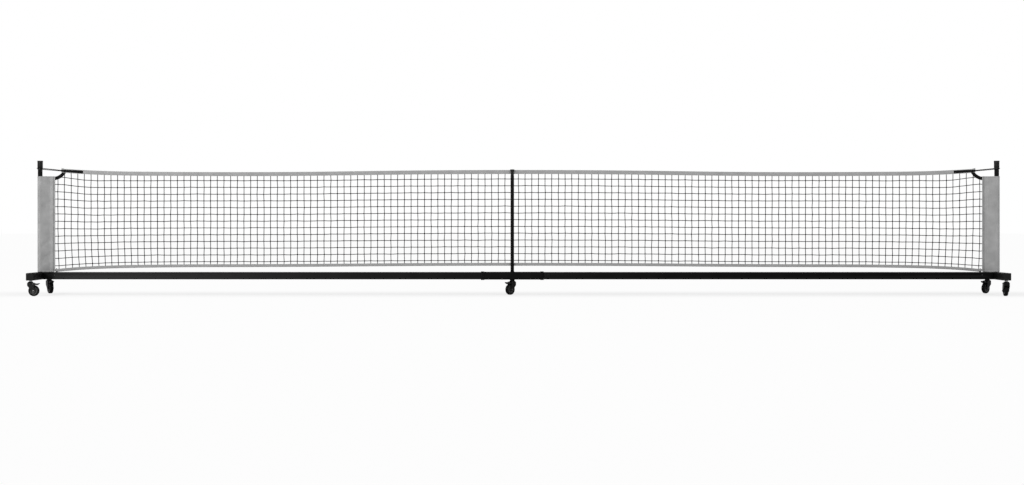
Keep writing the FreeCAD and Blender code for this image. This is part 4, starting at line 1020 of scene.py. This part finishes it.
def sleeve_heights():
    """Heights of the rings of a sleeve, close together at its end hems, each with its hem's relief."""
    low, high = sleeve_low.z, sleeve_high.z
    hem = [(0, 0.35), (1.2 * MM, 0.35), (END_HEM - 0.9 * MM, 0.35), (END_HEM, -0.35), (END_HEM + 0.9 * MM, 0)]
    steps = 72
    middle = [(low + END_HEM + (high - low - END_HEM * 2) * step / steps, 0) for step in range(1, steps)]
    rings = [(low + off, lift) for off, lift in hem] + middle
    rings += [(high - off, lift) for off, lift in hem[::-1]]
    return [(z, lift * MM) for z, lift in rings]


def make_sleeve(label, side):
    """A cloth pocket round a post: creased, hemmed and sewn to the net."""
    random.seed(21 if side < 0 else 22)
    width = post_x - sleeve_inner
    outline = sleeve_outline(width - SLEEVE_TRIM[label], POCKET_TRIM[label])
    ripples = [(random.uniform(15, 60), random.uniform(-40, 40), random.uniform(0, 6.3)) for _ in range(6)]
    rows = []
    for z, lift in sleeve_heights():
        row = []
        for index, point in enumerate(outline):
            share = index / (len(outline) - 1)
            # Creases and ripples fade out towards the hems and the pocket
            front = held((SLEEVE_FRONT[1] - share) / 0.1) * held((share - SLEEVE_FRONT[0]) / 0.06)
            rear = held((share - SLEEVE_REAR[0]) / 0.1) * held((SLEEVE_REAR[1] - share) / 0.08)
            waves = (math.sin(up * z + sideways * point.x * 3 + phase) for up, sideways, phase in ripples)
            ripple = RIPPLE * sum(waves)
            push = front * (crease_depth(label, point.x / width, z) - ripple)
            push += rear * (REAR_CREASE * crease_depth(label, 1 - point.x / width, z) + ripple)
            outward = -1 if share < 0.5 else 1
            # The end hems stand out from both faces, and half as far round the post
            if 0.3 < share < 0.7:
                place = point * (1 + lift * 0.5 / point.length)
            else:
                place = point + Vector((0, outward * lift))
            row.append(Vector((post_x * side - place.x * side, place.y + outward * push, z)))
        rows.append(row)
    made = lofted(f"post_sleeve_cloth_{label}", rows if side > 0 else [row[::-1] for row in rows])
    if side < 0:
        around = distances(rows[0])[-1]
        for corner in made.data.uv_layers["cloth"].data:
            corner.uv.x = around - corner.uv.x
    # The second ply grows inwards
    modified(made, "SOLIDIFY", thickness=PLY, offset=-1)
    smooth(50)
    settle(made, "frame", sleeve_cloth, (f"post_sleeve_{label}",))
    return made, sleeve_stitches(label, side, rows)


def sleeve_stitches(label, side, rows):
    """Rows of thread along a sleeve's hems: front, rear, bottom and top."""
    column = [across for across, out in HEM].index(HEM_STITCH)
    front = [row[column] for row in rows]
    rear = [row[-1] + Vector((HEM_STITCH * MM * side, -0.9 * MM, 0)) for row in rows]
    # The fourth ring from either end lies in the dip of its hem
    spots = []
    for line in (front, rear, rows[3][1:-1], rows[-4][1:-1]):
        spots += stitch_places(line, 5 * MM)
    return sewn(f"sleeve_stitching_{label}", 3.4 * MM, 0.45 * MM, spots, sewing_thread)


def stitch_shape(length, radius):
    """One stitch of thread lying along X: a short six-sided bar with narrower ends."""
    bpy.ops.mesh.primitive_cylinder_add(vertices=6, radius=radius, depth=length * 0.6,
                                        rotation=(0, math.radians(90), 0))
    made = bpy.context.object
    bpy.ops.object.transform_apply(location=True, rotation=True, scale=True)
    bpy.ops.object.mode_set(mode="EDIT")
    for way in (-1, 1):
        choose("FACE", lambda place, normal: normal.x * way > 0.9)
        bpy.ops.mesh.extrude_region_move(TRANSFORM_OT_translate={"value": (length * 0.2 * way, 0, 0)})
        bpy.ops.transform.resize(value=(1, 0.4, 0.4), center_override=(length / 2 * way, 0, 0))
    bpy.ops.object.mode_set(mode="OBJECT")
    return made


def stitch_places(line, pitch):
    """Where stitches lie, evenly along a line of points, each turned along the line."""
    places = []
    left = pitch / 2
    for a, b in zip(line, line[1:]):
        way = b - a
        length = way.length
        if length < 1e-9:
            continue
        turn = way.to_track_quat("X", "Z").to_matrix().to_4x4()
        while left <= length:
            places.append(Matrix.Translation(a + way * (left / length)) @ turn)
            left += pitch
        left -= length
    return places


# Hard parts

def make_coupler():
    """The sleeve over the beams: raised bands, rounded corners, bosses for post and stem."""
    low, high = coupler_low, coupler_high
    half = high.z - tube_middle
    deep = half - COUPLER_RELIEF
    sleeve = box("sleeve", (low.x + 1 * MM, -deep, tube_middle - COUPLER_HALF),
                 (high.x - 1 * MM, deep, tube_middle + COUPLER_HALF))
    round_edges(parallel(0), 4.2 * MM, 6)
    parts = [done(sleeve)]
    for way, mouth_x in ((-1, low.x), (1, high.x)):
        x_from, x_to = sorted((mouth_x, mouth_x - COUPLER_BAND * way))
        ring = box("ring", (x_from, -half, tube_middle - COUPLER_BAND_HALF),
                   (x_to, half, tube_middle + COUPLER_BAND_HALF))
        round_edges(parallel(0), 5.4 * MM, 6)
        round_edges(lambda place, edge: min(abs(place.x - x_from), abs(place.x - x_to)) < 1e-5, 0.9 * MM, 3)
        parts.append(carve(done(ring), coupler_mouth(mouth_x, way)))
    weld = ((16.5, -1), (16.2, 0.6), (15, 1.8), (13.4, 2.6), (12.9, 2.6), (12.9, -1))
    parts.append(turned("weld", weld, (coupler_x, 0, tube_middle + COUPLER_HALF)))
    # Down to the centre caster's head, under the coupler's lower side
    foot = (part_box("centre_fork")[1].z - coupler_bottom) / MM + 0.4
    collar = ((19.5, 0.5), (18, -0.8), (17, -1.8), (17, foot + 0.5), (16.5, foot), (15, foot),
              (14.6, foot + 0.4), (14.6, 0.5))
    parts.append(turned("collar", collar, (coupler_x, 0, coupler_bottom)))
    settle(joined("coupler_sleeve", *parts), "frame", black_steel, ("centre_coupler",))


def coupler_mouth(mouth_x, way):
    """What opens one end of the coupler round its beam."""
    hole = (tube_top - tube_bottom) / 2 + 0.3 * MM
    x_from, x_to = sorted((mouth_x - 6 * MM * way, mouth_x + 1 * MM * way))
    cutter = box("mouth", (x_from, -hole, tube_middle - hole), (x_to, hole, tube_middle + hole))
    round_edges(parallel(0), 4 * MM, 5)
    return done(cutter)


def make_post_caps():
    """The turned fittings on the post tops: skirt, neck for the cord, ringed waist and a rim."""
    top = (cap_high.z - cap_low.z) / MM
    lip = top - 11
    profile = (
        (16.8, 0), (17.7, 0), (FITTING_NECK, 0.5), (FITTING_NECK, 11.5), (18.5, 11.8), (18.7, 11.9),
        (19, 12.4), (19, lip - 9), (18.5, lip - 8.6), (18.5, lip - 7.4), (19, lip - 7), (19, lip - 0.4),
        (19.4, lip), (19.8, lip + 0.5), (19.8, top - 1.2), (19.5, top - 0.5), (18.8, top - 0.1),
        (17.8, top), (14.8, top), (14.2, top - 0.7), (3, top - 0.7), (0.2, top - 0.7),
    )
    pieces = [turned("fitting", profile, (post_x * side, 0, cap_low.z), segments=72) for side in (-1, 1)]
    settle(joined("post_fittings", *pieces), "frame", black_plastic, ("post_caps",))


def make_end_caps():
    """Moulded plugs in the feet, with a rounded flange and a shallow dish."""
    half = (tube_top - tube_bottom) / 2
    foot_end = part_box("foot_end_caps")[1].y
    pieces = []
    for side in (-1, 1):
        for way in (-1, 1):
            x = post_x * side
            y_out = foot_end * way
            y_from, y_to = sorted((y_out, y_out - 3 * MM * way))
            plate = box("plug", (x - half, y_from, tube_bottom), (x + half, y_to, tube_top))
            round_edges(parallel(1), 4 * MM, 6)
            choose("FACE", lambda place, normal: normal.y * way > 0.9)
            bpy.ops.mesh.inset(thickness=2.2 * MM)
            bpy.ops.mesh.inset(thickness=0.8 * MM)
            bpy.ops.transform.translate(value=(0, -0.7 * MM * way, 0))
            round_edges(lambda place, edge: abs(place.y - y_out) < 1e-5
                        and abs(abs(place.x - x) - half) < 1 * MM, 0.6 * MM, 3)
            pieces.append(done(plate))
    settle(joined("foot_plugs", *pieces), "frame", plug_plastic, ("foot_end_caps",))


# Casters, modelled once about their own stem: trailing along +X, floor at zero

# Radius of the wheel, and the places of its axle and of the pedal's hinge
WHEEL = 37.5 * MM
AXLE = Vector((22 * MM, 0, WHEEL))
HINGE = Vector((20 * MM, 0, 86 * MM))
# Fork in millimetres: half its width outside and inside, and its crown
FORK_HALF = 21
BAY_HALF = 16
CROWN_TOP = 92
CROWN_BOTTOM = 79


def both_sides(side):
    """A closed profile: one side of a wheel and its mirror image."""
    profile = [*side, *((radius, -height) for radius, height in side[::-1])]
    return profile + profile[:1]


def wheel_tyre():
    """Tyre with round shoulders and a moulded line on each side."""
    side = ((27, 10.4), (28.2, 12), (29.4, 12.6), (30.2, 12.2), (30.8, 12.2), (31.5, 12.7), (33.5, 12.4),
            (35.3, 11.3), (36.5, 9.8), (37.2, 7.6), (37.5, 4.6), (37.5, 2))
    return turned("tyre", both_sides(side), axis="Y", segments=72)


def wheel_core():
    """Core with a rim lip, a dished face, five ribs and a hub on each side."""
    side = ((4.3, 14.8), (4.8, 15.2), (8.6, 15.2), (9.4, 14.6), (9.8, 13.2), (10.4, 7), (11.5, 6), (20, 6),
            (21.8, 7), (22.8, 10.6), (23.6, 11.5), (26, 11.7), (27, 10.8))
    parts = [turned("core", both_sides(side), axis="Y", segments=72)]
    for way in (-1, 1):
        for index in range(5):
            y_from, y_to = sorted((5 * way, 9.8 * way))
            rib = block("rib", (8.5, y_from, -1.6), (23.2, y_to, 1.6))
            round_edges(parallel(0, lambda place: place.y * way > 7 * MM), 0.8 * MM, 3)
            done(rib).data.transform(Matrix.Rotation(math.pi * (0.4 * index + 0.1), 4, "Y"))
            parts.append(rib)
    return joined("core", *parts)


def pedal_bay():
    """The room for the pedal's hinge behind the stem."""
    return done(block("bay", (14.2, -BAY_HALF, CROWN_BOTTOM - 3), (60, BAY_HALF, 110)))


def caster_fork():
    """Pressed fork: domed swivel head, crown over the tyre, two legs with round ends."""
    # Radius of the boss round the axle, and the crown's front end
    boss = 10
    front = -22
    body = block("fork", (front, -FORK_HALF, 27.5), (32, FORK_HALF, CROWN_TOP))
    # The legs' front edge runs from the crown to the boss
    corner = Vector((front, 0, 74)) * MM
    toward = AXLE - corner
    slant = math.atan2(toward.z, toward.x) - math.asin(boss * MM / toward.length)
    cut(corner, (math.sin(slant), 0, -math.cos(slant)))
    heel = Vector((25.8, 0, CROWN_BOTTOM)) * MM
    up = (heel - Vector((32, 0, 42.5)) * MM).normalized()
    cut(heel, (up.z, 0, -up.x))
    round_edges(parallel(1, lambda place: place.z < WHEEL), 5.5 * MM, 8)
    round_edges(parallel(1, lambda place: WHEEL < place.z < (CROWN_TOP - 1) * MM and place.x > 0), 4 * MM, 4)
    nose = (front + 0.1) * MM
    round_edges(lambda place, edge: place.x < nose and abs(abs(place.y) - FORK_HALF * MM) < 1e-5, 9 * MM, 6)
    done(body)
    throat = block("throat", (-60, -BAY_HALF, -10), (80, BAY_HALF, CROWN_BOTTOM))
    round_edges(parallel(0, lambda place: place.z > 0), 2.5 * MM, 4)
    cut(Vector((-11, 0, CROWN_BOTTOM)) * MM, Vector((-13, 0, 12)).normalized())
    carve(body, done(throat))
    carve(body, pedal_bay())
    soften(body, 0.9 * MM, 3, 35)
    dome = ((7, 86), (20.8, 91), (21, 92.6), (20.6, 94.2), (19.4, 95.4), (18.2, 95.8), (18.2, 96.4),
            (18.6, 96.9), (18, 98.2), (15.5, 99.4), (12, 100), (6.6, 100), (6.4, 86), (7, 86))
    return joined("fork", body, carve(turned("head", dome), pedal_bay()))


def caster_axle():
    """Axle bolt with a domed head, a nut and washers, and the pedal's hinge pin."""
    parts = [turned("shank", ((0.2, -21), (4, -21), (4, 21), (0.2, 21)), AXLE, "Y", 32),
             turned("pin", ((0.2, -21), (2.2, -21.2), (2.5, -20.6), (2.5, 20.6), (2.2, 21.2), (0.2, 21)),
                    HINGE, "Y", 24)]
    ends = ((40, ((0.2, 20.7), (6.8, 20.7), (7, 21.4), (6.8, 21.8), (0.2, 21.8))),
            (6, ((0.2, 21.8), (6.2, 21.8), (6.2, 23.5), (5.4, 24.2), (0.2, 24.2))),
            (24, ((0.2, 24), (3.4, 24), (3.4, 24.5), (2.8, 25), (0.2, 25))))
    for way in (-1, 1):
        for segments, profile in ends:
            outward = [(radius, height * way) for radius, height in profile]
            parts.append(turned("end", outward, AXLE, "Y", segments))
    return joined("axle", *parts)


def caster_pedal():
    """Brake pedal: hinge knuckle, dished pad over the tyre and a ribbed toe that turns up."""
    half = 15.2
    hinge = HINGE.z / MM
    # Distance behind the stem, and upper and lower side over the hinge
    stops = ((15.5, 4.6, -4.0), (18, 5, -5), (24, 3.6, -5.6), (30, 2.2, -7.0), (36, 1.2, -9.6),
             (42, 0.6, -10.8), (48, 0.6, -10.2), (54, 1.4, -6.2), (58, 2.8, -2.0), (61, 4.0, 1.6))
    made = block("pedal", (stops[0][0], -half, hinge - 1), (stops[-1][0], half, hinge + 1))
    for x, top, low in stops[1:-1]:
        slice_at((x * MM, 0, 0), (1, 0, 0))
    mesh = bmesh.from_edit_mesh(made.data)
    for vertex in mesh.verts:
        x, top, low = min(stops, key=lambda stop: abs(stop[0] * MM - vertex.co.x))
        vertex.co.z = (hinge + (top if vertex.co.z > HINGE.z else low)) * MM
        # The pad widens towards its toe
        vertex.co.y *= 0.88 + 0.12 * max(0.0, (x - 40) / 21)
    bmesh.update_edit_mesh(made.data)
    parts = [soften(done(made), 1.6 * MM, 3, 30)]
    for index in range(4):
        x = 47 + 3.4 * index
        top = hinge + 0.5 + 0.2 * max(0.0, x - 48)
        rib = block("rib", (x - 0.7, -half * 0.78, top - 1), (x + 0.7, half * 0.78, top + 0.9))
        round_edges(parallel(1, lambda place: place.z > top * MM), 0.4 * MM, 2)
        parts.append(done(rib))
    return joined("pedal", *parts)


def caster_stem(seat, on_foot):
    """Threaded stem up through its seat, with nuts, a washer and the rivet head under the crown."""
    rivet = CROWN_BOTTOM - 0.4
    profiles = [
        (40, ((0.2, rivet - 2.6), (7.5, rivet - 2.6), (8.4, rivet - 1.6), (8.2, rivet), (6, rivet),
              (6, seat + 10.2), (5.2, seat + 11), (0.2, seat + 11))),
        (6, ((6.2, 100.4), (10.6, 100.4), (12, 101.4), (12, seat - 1.6), (10.8, seat - 0.8),
             (6.2, seat - 0.8))),
        (40, ((6.2, seat - 0.8), (12.4, seat - 0.8), (12.4, seat), (6.2, seat))),
    ]
    if on_foot:
        profiles.append((6, ((6.2, seat + 2), (12, seat + 2), (12, seat + 10), (10.8, seat + 11),
                             (6.2, seat + 11))))
    return joined("stem", *(turned("stem", rings, segments=count) for count, rings in profiles))


def make_casters():
    """Five casters, each turned as its own joints say."""
    anchors = {joint["name"]: joint.get("pos_m") for joint in frame["joints"]}
    # Shape, its name, its body, its material and slot, and the node that it stands for
    sources = (
        (wheel_tyre(), "tyre", "wheel", tyre_rubber, "tyre", None),
        (wheel_core(), "wheel_core", "wheel", grey_plastic, "dark_grey_plastic", "wheel"),
        (caster_fork(), "swivel_fork", "caster", caster_steel, "black_caster_steel", "fork"),
        (caster_axle(), "axle", "caster", dull_zinc, "zinc_steel", None),
        (caster_pedal(), "pedal", "brake", black_plastic, "black_plastic", "brake_pedal"),
    )
    stems = []
    for place in ("front_left", "rear_left", "centre", "rear_right", "front_right"):
        stem_at, axle_at = (Vector(anchors[f"{place}_{joint}"]) for joint in ("swivel", "roll"))
        turn = math.atan2(axle_at.y - stem_at.y, axle_at.x - stem_at.x)
        matrix = Matrix.Translation((stem_at.x, stem_at.y, 0)) @ Matrix.Rotation(turn, 4, "Z")
        for shape, name, body, material, slot, node in sources:
            made = scene_link(f"{place}_{name}", shape.data.copy())
            made.data.transform(matrix @ Matrix.Translation(AXLE) if body == "wheel" else matrix)
            settle(made, f"{place}_{body}", material, [f"{place}_{node}"] if node else ())
        on_foot = place != "centre"
        stem = caster_stem((tube_bottom if on_foot else coupler_bottom) / MM, on_foot)
        stem.data.transform(matrix)
        stems.append(stem)
    settle(joined("caster_stem_bolts", *stems), "frame", zinc_plate, ("caster_stems",))
    for shape, *_ in sources:
        bpy.data.objects.remove(shape)


# Cords

def make_cord(label, side):
    """The cord from the webbing round the post's fitting and back, as one smooth spline."""
    radius = FITTING_NECK * MM + 0.3 * MM + CORD_RADIUS
    outer = tape_end + PLY * 2 + CORD_RADIUS / 2
    length_x = post_x - outer
    height = cap_low.z + FITTING_CORD
    drop = height - (tape_top(tape_end) - TAPE_HEIGHT / 2)
    level = math.hypot(length_x, net_y)
    span = math.hypot(level, drop)
    spread = CORD_RADIUS + 0.4 * MM
    angle = math.atan2(spread, span) + math.acos(radius / math.hypot(span, spread))
    turns = 12
    step = (math.pi - angle) * 2 / turns
    corner = radius / math.cos(step / 2)
    # About the fitting, with X towards the net
    route = [Vector((span, spread, -CORD_APART))]
    for index in range(turns):
        bend = angle + step * (index + 0.5)
        climb = CORD_CLIMB * (2 * index / (turns - 1) - 1)
        route.append(Vector((corner * math.cos(bend), corner * math.sin(bend), climb)))
    route.append(Vector((span, -spread, CORD_APART)))
    yaw = math.atan2(net_y, length_x)
    turn = (Matrix.Translation((post_x * side, 0, height))
            @ Matrix.Rotation(yaw if side < 0 else math.pi - yaw, 4, "Z")
            @ Matrix.Rotation(math.atan2(drop, level), 4, "Y"))
    curve = bpy.data.curves.new(f"tie_cord_{label}_line", "CURVE")
    curve.dimensions = "3D"
    curve.bevel_depth = CORD_RADIUS
    curve.bevel_resolution = 4
    curve.use_fill_caps = True
    spline = curve.splines.new("NURBS")
    spline.points.add(len(route) - 1)
    for point, place in zip(spline.points, route):
        point.co = (*(turn @ place), 1)
    spline.order_u = 3
    spline.use_endpoint_u = True
    spline.resolution_u = 8
    made = scene_link(f"tie_cord_{label}_braid", curve)
    settle(made, "frame", cord_braid, (f"tie_cord_{label}",))


# Build the object

for node in ("beam_left", "beam_right", "foot_left", "foot_right", "post_left", "post_right", "centre_post"):
    # The left beam has painted light towards its end and painted shade under its sleeve
    finish = left_lit_steel if node == "beam_left" else black_steel
    settle(refined(f"{node}_tube", node, 0.4 * MM, 2), "frame", finish, (node,))
settle(refined("coupler_bolt_pair", "coupler_bolts", 0.4 * MM, 2), "frame", zinc_plate,
       ("coupler_bolts",))
for node in ("snap_spring_left", "snap_spring_right"):
    frame["nodes"][node].data.materials.clear()
    frame["nodes"][node].data.materials.append(zinc_plate)
settle(refined("corner_peg_pins", "corner_pegs", 0.5 * MM), "frame", black_steel,
       ("corner_pegs",))
settle(refined("hook_fitting", "centre_post_hook", 0.8 * MM), "centre_hook", black_plastic,
       ("centre_post_hook",))
for label in ("left", "right"):
    button = refined(f"snap_button_{label}_pin", f"snap_button_{label}", 0.9 * MM)
    settle(button, f"button_{label}", dark_zinc, (f"snap_button_{label}",))

headband, bottom_band, band_loops = make_tapes()
webbing = make_webbing()
make_bindings()
make_mesh()
sleeves = [make_sleeve("left", -1), make_sleeve("right", 1)]
make_band_seams()
make_webbing_seams()
make_coupler()
make_post_caps()
make_end_caps()
make_casters()
make_cord("left", -1)
make_cord("right", 1)


# Floor, lights and camera

FLOOR_MIDDLE = 20.0
# A band of painted shadow under the object, where less white is mixed in and the floor's real shadow shows
# more: half its length, its middle and reach along Y, and the share of white near it and far from it
SHADE_HALF = 3.5
SHADE_MIDDLE = 0.12
SHADE_REACH = 0.95
SHADE_NEAR = 0.74
SHADE_FAR = 0.985
# Strength of the light from all round
WORLD_LIGHT = 0.46


def make_floor():
    """A white floor that keeps the object's real shadow, with a band of painted shadow under the object, and
    runs into a white background.
    """
    bpy.ops.mesh.primitive_plane_add(size=120, location=(0, FLOOR_MIDDLE, 0))
    floor = bpy.context.object
    floor.name = "floor"
    made, tree, shader = new_material("floor")
    dress(tree, shader, (0.9, 0.9, 0.9, 1), 0.9, 0.0)
    glow = tree.nodes.new("ShaderNodeEmission")
    glow.inputs["Color"].default_value = (0.985, 0.985, 0.985, 1)
    # Distance from the line on the floor under the object
    past = remapped(tree, arithmetic(tree, "ABSOLUTE", coordinate(tree, "Object", "X")),
                    (SHADE_HALF, SHADE_HALF + 10), (0, 10))
    off = arithmetic(tree, "ADD", coordinate(tree, "Object", "Y"), FLOOR_MIDDLE - SHADE_MIDDLE)
    square = arithmetic(tree, "MULTIPLY_ADD", past, past, arithmetic(tree, "MULTIPLY", off, off))
    # Painted shadow: less white near the object, so a grey band shows there over the real shadow
    white_share_with_painted_shadow = remapped(tree, arithmetic(tree, "SQRT", square), (0, SHADE_REACH), (SHADE_NEAR, SHADE_FAR),
                    "SMOOTHERSTEP")
    seen = tree.nodes.new("ShaderNodeLightPath").outputs["Is Camera Ray"]
    mix = tree.nodes.new("ShaderNodeMixShader")
    for socket, value in zip(mix.inputs, (arithmetic(tree, "MULTIPLY", seen, white_share_with_painted_shadow), shader.outputs["BSDF"],
                                          glow.outputs["Emission"])):
        tree.links.new(value, socket)
    tree.links.new(mix.outputs["Shader"], tree.nodes["Material Output"].inputs["Surface"])
    floor.data.materials.append(made)


def make_world():
    """White behind the object, and an even light from all round."""
    world = bpy.data.worlds.new("studio")
    bpy.context.scene.world = world
    world.use_nodes = True
    tree = world.node_tree
    background = tree.nodes["Background"]
    background.inputs["Color"].default_value = (1, 1, 1, 1)
    path = tree.nodes.new("ShaderNodeLightPath").outputs
    seen = arithmetic(tree, "MAXIMUM", path["Is Camera Ray"], path["Is Glossy Ray"])
    seen = arithmetic(tree, "MAXIMUM", seen, path["Is Transmission Ray"])
    feed(tree, background.inputs["Strength"], remapped(tree, seen, (0, 1), (WORLD_LIGHT, 1)))


def make_lamp(name, place, target, size, energy):
    """A soft box that faces a point."""
    light = bpy.data.lights.new(name, "AREA")
    light.shape = "RECTANGLE"
    light.size, light.size_y = size
    light.energy = energy
    made = scene_link(name, light)
    made.location = place
    made.rotation_mode = "QUATERNION"
    made.rotation_quaternion = (Vector(target) - Vector(place)).to_track_quat("-Z", "Y")


def make_camera():
    """The photograph's view: level and straight on, a long lens and a small drop of the frame."""
    camera = bpy.data.cameras.new("camera")
    camera.sensor_width = 36
    camera.lens = 75.15
    camera.shift_y = -0.02
    made = scene_link("camera", camera)
    made.location = (-0.045, -15, 0.51)
    made.rotation_euler = (math.radians(90), 0, 0)
    bpy.context.scene.camera = made


make_floor()
make_world()
make_lamp("key", (-7.5, -13, 1.3), (-2.2, 0, 0.4), (7, 2), 520)
make_lamp("left", (-7, -3, 5), (-1, 0, 0.4), (4, 3), 200)
make_lamp("right", (5.5, -9, 6), (2, 0, 0.4), (4, 3), 360)
make_camera()
bpy.context.scene.view_settings.view_transform = "Standard"
